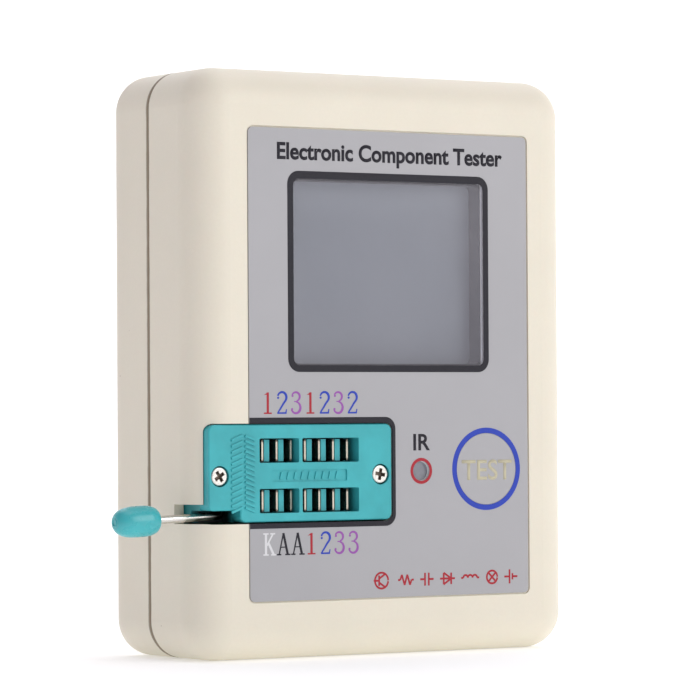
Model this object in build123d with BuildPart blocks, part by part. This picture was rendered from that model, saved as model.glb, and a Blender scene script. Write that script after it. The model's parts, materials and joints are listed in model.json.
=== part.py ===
from build123d import *
import math
import os

# Component tester: millimetres, +Z up, front face toward -Y.
# The origin is the centre of the case's bottom end face.

# ---- case ----
case_w = 68.8
case_h = 89.8
case_d = 27.3
case_corner_r = 5.8
front_edge_r = 5.7
back_edge_r = 3.6
wall_t = 1.65
front_y = -case_d / 2
back_y = case_d / 2
seam_y = front_y + 14.8
seam_round_r = 0.35
inner_front_y = front_y + wall_t
inner_back_y = back_y - wall_t
mid_z = case_h / 2
lip_t = 0.72
lip_h = 1.5
lip_root = 1.2
lip_gap = 0.06
rebate_gap = 0.15
# overlap that joins a boss or rib to its wall
fuse = 0.2
# how far a cut runs past the face that it opens
past = 1.0

# ---- label ----
label_w = 51.3
label_h = 71.7
label_x = 0.17
label_z = mid_z - 0.08
label_r = 0.8
label_t = 0.25
label_recess = 0.30
label_cut_w = 40.0
label_gap = 0.25
label_back_y = front_y + label_recess
film_fit = 0.02

# ---- display ----
window_w = 35.0
window_h = 28.4
window_r = 1.0
window_z = mid_z + 13.95
opening_w = 34.5
opening_h = 27.9
opening_x = -0.2
opening_r = 1.0
collar_t = 1.5
collar_w = 1.2
collar_r = 1.8
locating_rib_t = 1.0
locating_rib_off = 0.75
locating_rib_x = 2.25
locating_rib_w = 26.0
left_rib_h = 20.0
right_rib_h = 7.0
right_rib_up = 12.5
locating_rib_short = 0.6
panel_x0 = -19.0
panel_x1 = 22.0
frame_x0 = -20.0
frame_x1 = 24.5
frame_h = 34.0
panel_h = 32.2
panel_fit = 0.1
tail_w = 16.0
tail_t = 0.16
tail_bend_r = 1.2
tail_reach = 2.6
tail_under = 4.5
gasket_t = 0.25
panel_t = 1.55
panel_front_y = inner_front_y + collar_t + gasket_t
frame_front_y = panel_front_y + 0.5
frame_back_y = panel_front_y + 3.0

# ---- test socket ----
pitch = 2.54
socket_z = mid_z - 16.97
row_half = 3.81
first_contact_x = -22.5
contact_count = 7
contact_t = 0.3
contact_h = 3.2
contact_front_y = front_y + 1.5
cover_x0 = -32.55
cover_x1 = 0.27
cover_corner_r = 1.1
cover_z0 = mid_z - 23.94
cover_z1 = mid_z - 9.20
cover_front_y = front_y + 0.20
cover_back_y = front_y + 3.00
notch_x = -27.0
notch_z = mid_z - 22.12
base_x0 = -32.5
base_x1 = 0.18
window_x0 = -23.63
window_x1 = -16.58
window_x2 = -16.00
window_x3 = -5.78
row_window_h = 3.70
row_window_r = 0.25
pocket_x = -14.72
pocket_z = mid_z - 17.0
pocket_w = 13.55
pocket_h = 1.8
pocket_depth = 0.22
hole_x0 = -32.7
hole_x1 = 0.35
hole_r = 1.2
hole_z0 = mid_z - 24.20
hole_z1 = mid_z - 9.05
side_notch_z0 = mid_z - 24.13
side_notch_z1 = mid_z - 21.17
side_notch_depth = 7.4
side_notch_w = 5.0
hole_depth = 6.0
screw_left_x = -30.6
screw_right_x = -1.78
screw_spots = [(screw_left_x, socket_z), (screw_right_x, socket_z)]
screw_turns = [33.0, -10.0]
screw_seat_y = cover_front_y + 1.25
screw_head_r = 1.45
screw_head_t = 1.1
screw_shank_r = 0.78
screw_shank_l = 6.0
screw_cross_w = 1.8
screw_cross_t = 0.56
pin_r = 0.3
pin_out = 1.3
foot_h = 2.4

# ---- lever ----
pivot_x = -27.9
crank_z0 = socket_z - 1.93
crank_z1 = socket_z + 2.67
crank_mid_z = (crank_z0 + crank_z1) / 2
pivot_y = front_y + 4.5
wire_r = 0.61
crank_r = 0.5
crank_off = 0.5
arm_z = mid_z - 22.95
arm_drop = 0.0429
elbow_r = 0.9
journal_l = 3.6
web_r = 1.05
web_t = 0.45
knob_start = 11.12
knob_end = 18.43
knob_r = 2.35
knob_neck_r = 1.15
knob_face_r = 0.95
knob_cap_l = 1.98

# ---- slider ----
slide_back_y = cover_back_y + 1.9
slide_front_y = cover_back_y + 0.1
slide_x0 = -26.2
slide_x1 = -4.4
slide_z0 = socket_z - 5.9
slide_z1 = socket_z + 5.9
channel_gap = 0.1

# ---- start key ----
key_x = 17.88
key_z = mid_z - 16.40
key_hole_r = 5.6
key_film_r = 5.56
key_case_r = 5.75
cap_r = 5.3
cap_flange_r = 6.35
cap_flange_t = 1.0
cap_post_r = 2.5
cap_post_l = 2.6
cap_socket_depth = 0.4
guide_t = 0.9
guide_gap = 0.2
guide_h = 2.4

# ---- infrared receiver ----
ir_x = 5.63
ir_z = mid_z - 16.57
ir_hole_r = 1.53
ir_case_gap = 0.25
ir_lens_y = front_y + 0.7
ir_lens_fit = 0.2
ir_flange = 1.0
ir_flange_t = 0.4
ir_lead_drop = 1.0
ir_lead_r = 0.27

# ---- board ----
board_t = 1.6
board_front_y = front_y + 11.0
board_back_y = board_front_y + board_t
board_w = 64.8
board_z0 = 14.5
board_z1 = 76.5
standoff_r = 2.3
standoff_spots = [(-28.5, 17.5), (28.5, 17.5), (-28.5, 73.5), (28.5, 73.5)]
boss_spots = [(-27.3, 8.2), (27.3, 8.2), (-27.3, 81.8), (27.3, 81.8)]
boss_r = 3.4
boss_gap = 0.05
boss_pilot_r = 1.3
boss_pilot_l = 11.0
tube_r = boss_r + 0.3
standoff_pilot_r = 0.85
standoff_pilot_l = 7.0

# ---- screws of the case and the board ----
seat_y = 6.0
case_cross_depth = 1.1
board_cross_depth = 0.8
case_head_r = 2.3
case_head_t = 1.8
case_well_r = 2.6
case_hole_r = 1.45
case_shank_r = 1.22
case_shank_l = 14.0
case_cross_w = 2.5
case_cross_t = 0.65
board_head_r = 1.8
board_head_t = 1.3
board_hole_r = 1.1
board_shank_r = 0.8
board_shank_l = 8.0
board_cross_w = 2.0
board_cross_t = 0.5

# ---- battery ----
cell_w = 34.0
cell_h = 50.0
cell_round_r = 1.2
tray_w = cell_w + 2.0
tray_h = cell_h + 2.0
tray_t = 1.0
tray_r = 1.0
tray_depth = 3.0
lead_gap_w = 16.0

# ---- charging port and lamp ----
usb_z = 33.0
usb_y = board_front_y - 1.3
usb_x = 27.3
usb_l = 5.6
usb_w = 7.6
usb_t = 2.56
usb_shell_t = 0.3
usb_back_t = 0.7
mouth_w = 8.6
mouth_t = 3.4
mouth_r = 1.2
tongue_w = 3.8
tongue_t = 0.6
tongue_l = 4.0
tongue_off = 0.25
lamp_z = 25.0
lamp_y = board_front_y - 1.3
lamp_x = 30.85
lamp_hole_r = 1.05
pipe_r = 1.0
pipe_flange_t = 0.7
pipe_x = case_w / 2 - wall_t - pipe_flange_t - 0.05


def at_y(y):
    """Sketch plane facing the front, at this depth."""
    return Plane.XZ.offset(-y)


row_z = [socket_z - row_half, socket_z + row_half]
contact_x = [first_contact_x + pitch * i for i in range(contact_count)]
contact_spots = [(x, z) for z in row_z for x in contact_x]
pin_spots = [(x + contact_t / 2, z) for x, z in contact_spots]
block_off = 0.95
block_spots = [(contact_x[i] + block_off, z) for z in row_z for i in (0, 1, 3, 4, 5)]
ir_lead_spots = [(ir_x + dx, ir_z - ir_lead_drop) for dx in (-pitch, 0, pitch)]

# ================= front shell =================

with BuildPart() as front_core:
    with BuildSketch(at_y(seam_y)):
        with Locations((0, mid_z)):
            RectangleRounded(case_w - 2 * wall_t, case_h - 2 * wall_t, case_corner_r - wall_t)
    extrude(amount=seam_y - inner_front_y)
    fillet(front_core.faces().sort_by(Axis.Y)[0].edges(), front_edge_r - wall_t)

with BuildPart() as front_shell:
    with BuildSketch(at_y(seam_y)):
        with Locations((0, mid_z)):
            RectangleRounded(case_w, case_h, case_corner_r)
    extrude(amount=seam_y - front_y)
    fillet(front_shell.faces().sort_by(Axis.Y)[0].edges(), front_edge_r)
    fillet(front_shell.faces().sort_by(Axis.Y)[-1].edges(), seam_round_r)
    add(front_core.part, mode=Mode.SUBTRACT)
    # rebate for the locating lip of the back half
    with BuildSketch(at_y(seam_y)):
        with Locations((0, mid_z)):
            RectangleRounded(case_w - wall_t, case_h - wall_t, case_corner_r - wall_t / 2)
    extrude(amount=lip_h + rebate_gap, mode=Mode.SUBTRACT)
    # recess for the label
    with BuildSketch(at_y(label_back_y)):
        with Locations((label_x, label_z)):
            RectangleRounded(label_w + 2 * label_gap, label_h + 2 * label_gap, label_r + label_gap)
    extrude(amount=label_recess, mode=Mode.SUBTRACT)
    # screw bosses
    with BuildSketch(at_y(seam_y - boss_gap)):
        with Locations(*boss_spots):
            Circle(boss_r)
    extrude(amount=seam_y - boss_gap - inner_front_y + fuse)
    # standoffs for the board
    with BuildSketch(at_y(board_front_y)):
        with Locations(*standoff_spots):
            Circle(standoff_r)
    extrude(amount=board_front_y - inner_front_y + fuse)
    # collar round the display opening
    with BuildSketch(at_y(inner_front_y + collar_t)):
        with Locations((opening_x, window_z)):
            RectangleRounded(opening_w + 2 * collar_w, opening_h + 2 * collar_w, collar_r)
    extrude(amount=collar_t + fuse)
    # locating ribs beside the display
    with BuildSketch(at_y(frame_back_y - locating_rib_short)):
        with Locations((frame_x0 - locating_rib_off, window_z)):
            Rectangle(locating_rib_t, left_rib_h)
        with Locations((frame_x1 + locating_rib_off, window_z + right_rib_up)):
            Rectangle(locating_rib_t, right_rib_h)
        for side in (-1, 1):
            with Locations((locating_rib_x, window_z + side * (frame_h / 2 + locating_rib_off))):
                Rectangle(locating_rib_w, locating_rib_t)
    extrude(amount=frame_back_y - locating_rib_short - inner_front_y + fuse)
    # guide ring round the key
    with BuildSketch(at_y(inner_front_y + guide_h)):
        with Locations((key_x, key_z)):
            Circle(cap_flange_r + guide_gap + guide_t)
            Circle(cap_flange_r + guide_gap, mode=Mode.SUBTRACT)
    extrude(amount=guide_h + fuse)
    # openings in the front
    with BuildSketch(at_y(inner_front_y + collar_t + 0.1)):
        with Locations((opening_x, window_z)):
            RectangleRounded(opening_w, opening_h, opening_r)
    extrude(amount=wall_t + collar_t + past, mode=Mode.SUBTRACT)
    with BuildSketch(at_y(inner_front_y + 0.01)):
        with Locations((key_x, key_z)):
            Circle(key_case_r)
        with Locations((ir_x, ir_z)):
            Circle(ir_hole_r + ir_case_gap)
    extrude(amount=wall_t + past, mode=Mode.SUBTRACT)
    # socket opening
    with BuildSketch(at_y(inner_front_y + hole_depth)):
        with Locations(((hole_x0 + hole_x1) / 2, (hole_z0 + hole_z1) / 2)):
            Rectangle(hole_x1 - hole_x0, hole_z1 - hole_z0)
        fillet(vertices(), hole_r)
    extrude(amount=wall_t + hole_depth + past, mode=Mode.SUBTRACT)
    # notch in the side for the lever
    with BuildSketch(at_y(front_y + side_notch_depth)):
        with Locations((-case_w / 2, (side_notch_z0 + side_notch_z1) / 2)):
            Rectangle(side_notch_w, side_notch_z1 - side_notch_z0)
    extrude(amount=side_notch_depth + past, mode=Mode.SUBTRACT)
    # pilot holes
    with BuildSketch(at_y(seam_y)):
        with Locations(*boss_spots):
            Circle(boss_pilot_r)
    extrude(amount=boss_pilot_l, mode=Mode.SUBTRACT)
    with BuildSketch(at_y(board_front_y)):
        with Locations(*standoff_spots):
            Circle(standoff_pilot_r)
    extrude(amount=standoff_pilot_l, mode=Mode.SUBTRACT)
    # charging port and lamp in the right side
    with BuildSketch(Plane.YZ.offset(case_w / 2 - wall_t - past)):
        with Locations((usb_y, usb_z)):
            RectangleRounded(mouth_t, mouth_w, mouth_r)
        with Locations((lamp_y, lamp_z)):
            Circle(lamp_hole_r)
    extrude(amount=wall_t + 2 * past, mode=Mode.SUBTRACT)
front_shell.part.label = "front_shell"

# ================= back shell =================

with BuildPart() as back_core:
    with BuildSketch(at_y(inner_back_y)):
        with Locations((0, mid_z)):
            RectangleRounded(case_w - 2 * wall_t, case_h - 2 * wall_t, case_corner_r - wall_t)
    extrude(amount=inner_back_y - seam_y)
    fillet(back_core.faces().sort_by(Axis.Y)[-1].edges(), back_edge_r - wall_t)

with BuildPart() as back_shell:
    with BuildSketch(at_y(back_y)):
        with Locations((0, mid_z)):
            RectangleRounded(case_w, case_h, case_corner_r)
    extrude(amount=back_y - seam_y)
    fillet(back_shell.faces().sort_by(Axis.Y)[-1].edges(), back_edge_r)
    fillet(back_shell.faces().sort_by(Axis.Y)[0].edges(), seam_round_r)
    add(back_core.part, mode=Mode.SUBTRACT)
    # locating lip
    with BuildSketch(at_y(seam_y + lip_root)):
        with Locations((0, mid_z)):
            RectangleRounded(
                case_w - wall_t - 2 * lip_gap,
                case_h - wall_t - 2 * lip_gap,
                case_corner_r - wall_t / 2 - lip_gap,
            )
            RectangleRounded(
                case_w - wall_t - 2 * lip_gap - 2 * lip_t,
                case_h - wall_t - 2 * lip_gap - 2 * lip_t,
                case_corner_r - wall_t / 2 - lip_gap - lip_t,
                mode=Mode.SUBTRACT,
            )
    extrude(amount=lip_h + lip_root)
    # screw tubes
    with BuildSketch(at_y(inner_back_y + fuse)):
        with Locations(*boss_spots):
            Circle(tube_r)
    extrude(amount=inner_back_y + fuse - seam_y)
    with BuildSketch(at_y(back_y)):
        with Locations(*boss_spots):
            Circle(case_well_r)
    extrude(amount=back_y - seat_y, mode=Mode.SUBTRACT)
    with BuildSketch(at_y(back_y)):
        with Locations(*boss_spots):
            Circle(case_hole_r)
    extrude(amount=back_y - seam_y + 0.1, mode=Mode.SUBTRACT)
    # frame that locates the battery
    with BuildSketch(at_y(inner_back_y + fuse)):
        with Locations((0, mid_z)):
            RectangleRounded(tray_w + 2 * tray_t, tray_h + 2 * tray_t, tray_r + tray_t)
            RectangleRounded(tray_w, tray_h, tray_r, mode=Mode.SUBTRACT)
        with Locations((0, mid_z + (tray_h + tray_t) / 2)):
            Rectangle(lead_gap_w, 4 * tray_t, mode=Mode.SUBTRACT)
    extrude(amount=tray_depth + fuse)
back_shell.part.label = "back_shell"

with BuildPart() as case_screws:
    with BuildSketch(at_y(seat_y + case_head_t)):
        with Locations(*boss_spots):
            Circle(case_head_r)
    extrude(amount=case_head_t)
    chamfer(case_screws.faces().sort_by(Axis.Y)[-4:].edges(), 0.35)
    with BuildSketch(at_y(seat_y)):
        with Locations(*boss_spots):
            Circle(case_shank_r)
    extrude(amount=case_shank_l)
    with BuildSketch(at_y(seat_y + case_head_t)):
        with Locations(*boss_spots):
            Rectangle(case_cross_w, case_cross_t)
            Rectangle(case_cross_t, case_cross_w)
    extrude(amount=case_cross_depth, mode=Mode.SUBTRACT)
case_screws.part.label = "case_screws"

# ================= label and windows =================

with BuildPart() as label_overlay:
    with BuildSketch(at_y(label_back_y)):
        with Locations((label_x, label_z)):
            RectangleRounded(label_w, label_h, label_r)
        with Locations((0, window_z)):
            RectangleRounded(window_w, window_h, window_r, mode=Mode.SUBTRACT)
        with Locations((key_x, key_z)):
            Circle(key_hole_r, mode=Mode.SUBTRACT)
        with Locations((ir_x, ir_z)):
            Circle(ir_hole_r, mode=Mode.SUBTRACT)
    extrude(amount=label_t)
    with BuildSketch(at_y(label_back_y)):
        with Locations((hole_x1 - label_cut_w / 2, (hole_z0 + hole_z1) / 2)):
            RectangleRounded(label_cut_w, hole_z1 - hole_z0, hole_r)
    extrude(amount=label_t, mode=Mode.SUBTRACT)
label_overlay.part.label = "label_overlay"

with BuildPart() as display_window:
    with BuildSketch(at_y(label_back_y)):
        with Locations((0, window_z)):
            RectangleRounded(window_w - film_fit, window_h - film_fit, window_r - film_fit / 2)
    extrude(amount=label_t)
display_window.part.label = "display_window"

with BuildPart() as ir_window:
    with BuildSketch(at_y(inner_front_y)):
        with Locations((ir_x, ir_z)):
            Circle(ir_hole_r + ir_lens_fit)
    extrude(amount=inner_front_y - ir_lens_y)
    with BuildSketch(at_y(inner_front_y + ir_flange_t)):
        with Locations((ir_x, ir_z)):
            Circle(ir_hole_r + ir_flange)
    extrude(amount=ir_flange_t)
ir_window.part.label = "ir_window"

# ================= display =================

with BuildPart() as display_gasket:
    with BuildSketch(at_y(panel_front_y)):
        with Locations((opening_x, window_z)):
            RectangleRounded(opening_w + 2 * collar_w, opening_h + 2 * collar_w, collar_r)
            RectangleRounded(opening_w + 0.2, opening_h + 0.2, 1.1, mode=Mode.SUBTRACT)
    extrude(amount=gasket_t)
display_gasket.part.label = "display_gasket"

with BuildPart() as display_panel:
    with BuildSketch(at_y(panel_front_y + panel_t)):
        with Locations(((panel_x0 + panel_x1) / 2, window_z)):
            Rectangle(panel_x1 - panel_x0, panel_h)
    extrude(amount=panel_t)
    chamfer(display_panel.faces().sort_by(Axis.Y)[0].edges(), 0.15)
display_panel.part.label = "display_panel"

with BuildPart() as display_frame:
    with BuildSketch(at_y(frame_back_y)):
        with Locations(((frame_x0 + frame_x1) / 2, window_z)):
            RectangleRounded(frame_x1 - frame_x0, frame_h, 0.5)
    extrude(amount=frame_back_y - frame_front_y)
    with BuildSketch(at_y(panel_front_y + panel_t)):
        with Locations(((panel_x0 + panel_x1) / 2, window_z)):
            Rectangle(panel_x1 - panel_x0 + panel_fit, panel_h + panel_fit)
    extrude(amount=2.0, mode=Mode.SUBTRACT)
    with BuildSketch(at_y(frame_front_y)):
        with Locations((frame_x1 - 1.0, window_z)):
            Rectangle(4.2, tail_w + 1.0)
    extrude(amount=-0.7, mode=Mode.SUBTRACT)
display_frame.part.label = "display_frame"

flex_y = frame_front_y + 0.35
with BuildPart() as display_flex:
    with BuildSketch(Plane.XY.offset(window_z - tail_w / 2)):
        with BuildLine() as flex_line:
            Polyline(
                (panel_x1 + 0.1, flex_y),
                (frame_x1 + tail_reach, flex_y),
                (frame_x1 + tail_reach, board_front_y - 0.12),
                (frame_x1 - tail_under, board_front_y - 0.12),
            )
            fillet(flex_line.vertices().sort_by(Axis.X)[2:], tail_bend_r)
        trace(line_width=tail_t)
    extrude(amount=tail_w)
display_flex.part.label = "display_flex"

# ================= board =================

with BuildPart() as main_board:
    with BuildSketch(at_y(board_back_y)):
        with Locations((0, (board_z0 + board_z1) / 2)):
            RectangleRounded(board_w, board_z1 - board_z0, 1.5)
        with Locations(*standoff_spots):
            Circle(board_hole_r, mode=Mode.SUBTRACT)
        with Locations(*pin_spots):
            Circle(0.45, mode=Mode.SUBTRACT)
        with Locations(*ir_lead_spots):
            Circle(0.4, mode=Mode.SUBTRACT)
    extrude(amount=board_t)
main_board.part.label = "main_board"

with BuildPart() as board_screws:
    with BuildSketch(at_y(board_back_y + board_head_t)):
        with Locations(*standoff_spots):
            Circle(board_head_r)
    extrude(amount=board_head_t)
    chamfer(board_screws.faces().sort_by(Axis.Y)[-4:].edges(), 0.3)
    with BuildSketch(at_y(board_back_y)):
        with Locations(*standoff_spots):
            Circle(board_shank_r)
    extrude(amount=board_shank_l)
    with BuildSketch(at_y(board_back_y + board_head_t)):
        with Locations(*standoff_spots):
            Rectangle(board_cross_w, board_cross_t)
            Rectangle(board_cross_t, board_cross_w)
    extrude(amount=board_cross_depth, mode=Mode.SUBTRACT)
board_screws.part.label = "board_screws"

# ================= test socket =================

with BuildPart() as zif_base:
    with BuildSketch(at_y(board_front_y)):
        with Locations(((base_x0 + base_x1) / 2, (cover_z0 + cover_z1) / 2)):
            RectangleRounded(base_x1 - base_x0, cover_z1 - cover_z0, 0.6)
    extrude(amount=board_front_y - cover_back_y)
    # notch for the lever arm
    with BuildSketch(at_y(pivot_y + 1.0)):
        with Locations((notch_x - 5.0, notch_z - 5.0)):
            Rectangle(10.0, 10.0)
    extrude(amount=4.0, mode=Mode.SUBTRACT)
    # slider channel
    with BuildSketch(at_y(slide_back_y + 0.08)):
        with Locations(((slide_x0 + slide_x1) / 2 + 0.5, socket_z)):
            Rectangle(slide_x1 - slide_x0 + 1.4, slide_z1 - slide_z0 + 2 * channel_gap)
    extrude(amount=4.0, mode=Mode.SUBTRACT)
    # crank chamber
    with BuildSketch(at_y(pivot_y + 1.55)):
        with Locations((pivot_x - 0.05, crank_mid_z)):
            Rectangle(3.2, 5.3)
    extrude(amount=5.0, mode=Mode.SUBTRACT)
    # journal slots, open to the front
    with BuildSketch(Plane.XY.offset(notch_z - 0.1)):
        with Locations((pivot_x, pivot_y)):
            Circle(wire_r + 0.05)
        with Locations((pivot_x, pivot_y - 2.0)):
            Rectangle(2 * wire_r + 0.1, 4.0)
    extrude(amount=11.8, mode=Mode.SUBTRACT)
    # contact pockets and pin holes
    with BuildSketch(at_y(board_front_y - 2.2)):
        with Locations(*[(x - 0.32, z) for x, z in contact_spots]):
            Rectangle(1.54, contact_h + 0.1)
    extrude(amount=6.0, mode=Mode.SUBTRACT)
    with BuildSketch(at_y(board_front_y)):
        with Locations(*pin_spots):
            Circle(0.36)
    extrude(amount=3.0, mode=Mode.SUBTRACT)
    # pilot holes for the cover screws
    with BuildSketch(at_y(cover_back_y + 5.5)):
        with Locations(*screw_spots):
            Circle(0.85)
    extrude(amount=6.0, mode=Mode.SUBTRACT)
zif_base.part.label = "zif_base"

with BuildPart() as zif_cover:
    with BuildSketch(at_y(cover_back_y)) as cover_outline:
        with BuildLine():
            Polyline(
                (cover_x0, notch_z),
                (cover_x0, cover_z1),
                (cover_x1, cover_z1),
                (cover_x1, cover_z0),
                (notch_x, cover_z0),
                (notch_x, notch_z),
                close=True,
            )
        make_face()
        fillet(cover_outline.vertices().group_by(Axis.Y)[-1], cover_corner_r)
        fillet(cover_outline.vertices().group_by(Axis.X)[-1].sort_by(Axis.Y)[0], cover_corner_r)
        fillet(cover_outline.vertices().group_by(Axis.X)[0].sort_by(Axis.Y)[0], 0.8)
        fillet(cover_outline.vertices().group_by(Axis.Y)[0].sort_by(Axis.X)[0], 0.9)
    extrude(amount=cover_back_y - cover_front_y)
    chamfer(zif_cover.faces().sort_by(Axis.Y)[0].edges(), 0.15)
    # lead windows
    with BuildSketch(at_y(cover_back_y)):
        for z in row_z:
            with Locations(((window_x0 + window_x1) / 2, z)):
                RectangleRounded(window_x1 - window_x0, row_window_h, row_window_r)
            with Locations(((window_x2 + window_x3) / 2, z)):
                RectangleRounded(window_x3 - window_x2, row_window_h, row_window_r)
    extrude(amount=4.0, mode=Mode.SUBTRACT)
    # shallow blank pocket between the rows
    with BuildSketch(at_y(cover_front_y + pocket_depth)):
        with Locations((pocket_x, pocket_z)):
            RectangleRounded(pocket_w, pocket_h, 0.3)
    extrude(amount=past, mode=Mode.SUBTRACT)
    # screw seats
    with BuildSketch(at_y(screw_seat_y)):
        with Locations(*screw_spots):
            Circle(1.6)
    extrude(amount=2.0, mode=Mode.SUBTRACT)
    with BuildSketch(at_y(cover_back_y)):
        with Locations(*screw_spots):
            Circle(0.9)
    extrude(amount=3.0, mode=Mode.SUBTRACT)
zif_cover.part.label = "zif_cover"

with BuildPart() as zif_cover_screws:
    with BuildSketch(at_y(screw_seat_y)):
        with Locations(*screw_spots):
            Circle(screw_head_r)
    extrude(amount=screw_head_t)
    fillet(zif_cover_screws.faces().sort_by(Axis.Y)[:2].edges(), 0.3)
    with BuildSketch(at_y(screw_seat_y)):
        with Locations(*screw_spots):
            Circle(screw_shank_r)
    extrude(amount=-screw_shank_l)
    with BuildSketch(at_y(cover_front_y + 0.85)):
        for spot, turn in zip(screw_spots, screw_turns):
            with Locations(spot):
                Rectangle(screw_cross_w, screw_cross_t, rotation=turn)
                Rectangle(screw_cross_t, screw_cross_w, rotation=turn)
    extrude(amount=1.0, mode=Mode.SUBTRACT)
zif_cover_screws.part.label = "zif_cover_screws"

with BuildPart() as zif_contacts:
    with BuildSketch(at_y(board_front_y - foot_h)):
        with Locations(*pin_spots):
            Rectangle(contact_t, contact_h)
    extrude(amount=board_front_y - foot_h - contact_front_y)
    with BuildSketch(at_y(board_back_y + pin_out)):
        with Locations(*pin_spots):
            Circle(pin_r)
    extrude(amount=board_t + pin_out + foot_h + 0.1)
zif_contacts.part.label = "zif_contacts"

with BuildPart() as zif_slider:
    with BuildSketch(at_y(slide_back_y)):
        with Locations(((slide_x0 + slide_x1) / 2, socket_z)):
            Rectangle(slide_x1 - slide_x0, slide_z1 - slide_z0)
        with Locations(((pivot_x + 0.04 + slide_x0 + 0.5) / 2, crank_mid_z)):
            Rectangle(slide_x0 + 0.5 - pivot_x - 0.04, 3.4)
        with Locations(*[(x - 0.31, z) for x, z in contact_spots]):
            Rectangle(1.58, contact_h + 0.4, mode=Mode.SUBTRACT)
    extrude(amount=slide_back_y - slide_front_y)
    # blocks that press the contacts
    with BuildSketch(at_y(slide_front_y + 0.1)):
        with Locations(*block_spots):
            Rectangle(0.90, 3.3)
    extrude(amount=slide_front_y + 0.1 - (contact_front_y + 0.05))
zif_slider.part.label = "zif_slider"

# ================= lever =================

arm_angle = math.atan(arm_drop)
arm_dir = Vector(-math.cos(arm_angle), 0, -math.sin(arm_angle))
elbow = Vector(pivot_x, pivot_y, arm_z)
arm_tip = elbow + arm_dir * (knob_end - knob_cap_l - 0.02)
crank_x = pivot_x - crank_off
crank_y = pivot_y - crank_off

with BuildPart() as zif_lever:
    with BuildLine() as lever_line:
        Polyline((pivot_x, pivot_y, crank_z0), tuple(elbow), tuple(arm_tip))
        fillet(lever_line.vertices().sort_by(Axis.Z)[1:2], elbow_r)
    with BuildSketch(Plane.XY.offset(crank_z0)):
        with Locations((pivot_x, pivot_y)):
            Circle(wire_r)
    sweep(path=lever_line.wires()[0])
    # far journal
    with BuildSketch(Plane.XY.offset(crank_z1)):
        with Locations((pivot_x, pivot_y)):
            Circle(wire_r)
    extrude(amount=journal_l)
    # crank
    with BuildSketch(Plane.XY.offset(crank_z0)):
        with Locations((crank_x, crank_y)):
            Circle(crank_r)
    extrude(amount=crank_z1 - crank_z0)
    with BuildSketch(Plane.XY.offset(crank_z0)):
        with Locations((pivot_x - crank_off / 2, pivot_y - crank_off / 2)):
            Circle(web_r)
    extrude(amount=web_t)
    with BuildSketch(Plane.XY.offset(crank_z1 - web_t)):
        with Locations((pivot_x - crank_off / 2, pivot_y - crank_off / 2)):
            Circle(web_r)
    extrude(amount=web_t)
zif_lever.part.label = "zif_lever"

knob_plane = Plane(origin=elbow, x_dir=arm_dir, z_dir=(0, -1, 0))
with BuildPart() as zif_lever_knob:
    with BuildSketch(knob_plane):
        with BuildLine():
            Line((knob_start, wire_r), (knob_start, knob_neck_r))
            Spline(
                (knob_start, knob_neck_r),
                (knob_start + 0.33, 1.74),
                (knob_start + 1.30, 2.20),
                (knob_start + 3.30, knob_r),
                (knob_end - 1.85, 2.20),
                (knob_end - 0.63, 1.72),
                (knob_end, knob_face_r),
            )
            Line((knob_end, knob_face_r), (knob_end, 0))
            Line((knob_end, 0), (knob_end - knob_cap_l, 0))
            Line((knob_end - knob_cap_l, 0), (knob_end - knob_cap_l, wire_r))
            Line((knob_end - knob_cap_l, wire_r), (knob_start, wire_r))
        make_face()
    revolve(axis=Axis(tuple(elbow), tuple(arm_dir)))
zif_lever_knob.part.label = "zif_lever_knob"

# ================= start key =================

with BuildPart() as start_key_film:
    with BuildSketch(at_y(label_back_y)):
        with Locations((key_x, key_z)):
            Circle(key_film_r)
    extrude(amount=label_t)
start_key_film.part.label = "start_key_film"

cap_back_y = inner_front_y + 3.5
with BuildPart() as start_button_cap:
    with BuildSketch(at_y(inner_front_y + 0.1)):
        with Locations((key_x, key_z)):
            Circle(cap_r)
    extrude(amount=inner_front_y + 0.1 - label_back_y)
    with BuildSketch(at_y(inner_front_y + 1.05)):
        with Locations((key_x, key_z)):
            Circle(cap_flange_r)
    extrude(amount=cap_flange_t)
    with BuildSketch(at_y(cap_back_y)):
        with Locations((key_x, key_z)):
            Circle(cap_post_r)
    extrude(amount=cap_post_l)
    with BuildSketch(at_y(cap_back_y)):
        with Locations((key_x, key_z)):
            Circle(1.75)
    extrude(amount=cap_socket_depth, mode=Mode.SUBTRACT)
start_button_cap.part.label = "start_button_cap"

with BuildPart() as tact_switch_stem:
    with BuildSketch(at_y(board_front_y - 2.2)):
        with Locations((key_x, key_z)):
            Circle(1.70)
    extrude(amount=board_front_y - 2.2 - (cap_back_y - cap_socket_depth))
tact_switch_stem.part.label = "tact_switch_stem"

with BuildPart() as tact_switch_body:
    with BuildSketch(at_y(board_front_y)):
        with Locations((key_x, key_z)):
            RectangleRounded(6.0, 6.0, 0.5)
    extrude(amount=3.5)
    with BuildSketch(at_y(board_front_y - 1.6)):
        with Locations((key_x, key_z)):
            Circle(1.80)
    extrude(amount=3.0, mode=Mode.SUBTRACT)
    with BuildSketch(at_y(board_front_y)):
        with Locations(*[(key_x + i * 3.6, key_z + j * 2.25) for i in (-1, 1) for j in (-1, 1)]):
            Rectangle(1.4, 0.7)
    extrude(amount=0.25)
tact_switch_body.part.label = "tact_switch_body"

with BuildPart() as tact_switch_cover:
    with BuildSketch(at_y(board_front_y - 3.5)):
        with Locations((key_x, key_z)):
            RectangleRounded(6.0, 6.0, 0.5)
            Circle(1.85, mode=Mode.SUBTRACT)
        with Locations(*[(key_x + i * 2.3, key_z + j * 2.3) for i in (-1, 1) for j in (-1, 1)]):
            Circle(0.3, mode=Mode.SUBTRACT)
    extrude(amount=0.25)
tact_switch_cover.part.label = "tact_switch_cover"

# ================= infrared receiver =================

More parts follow.
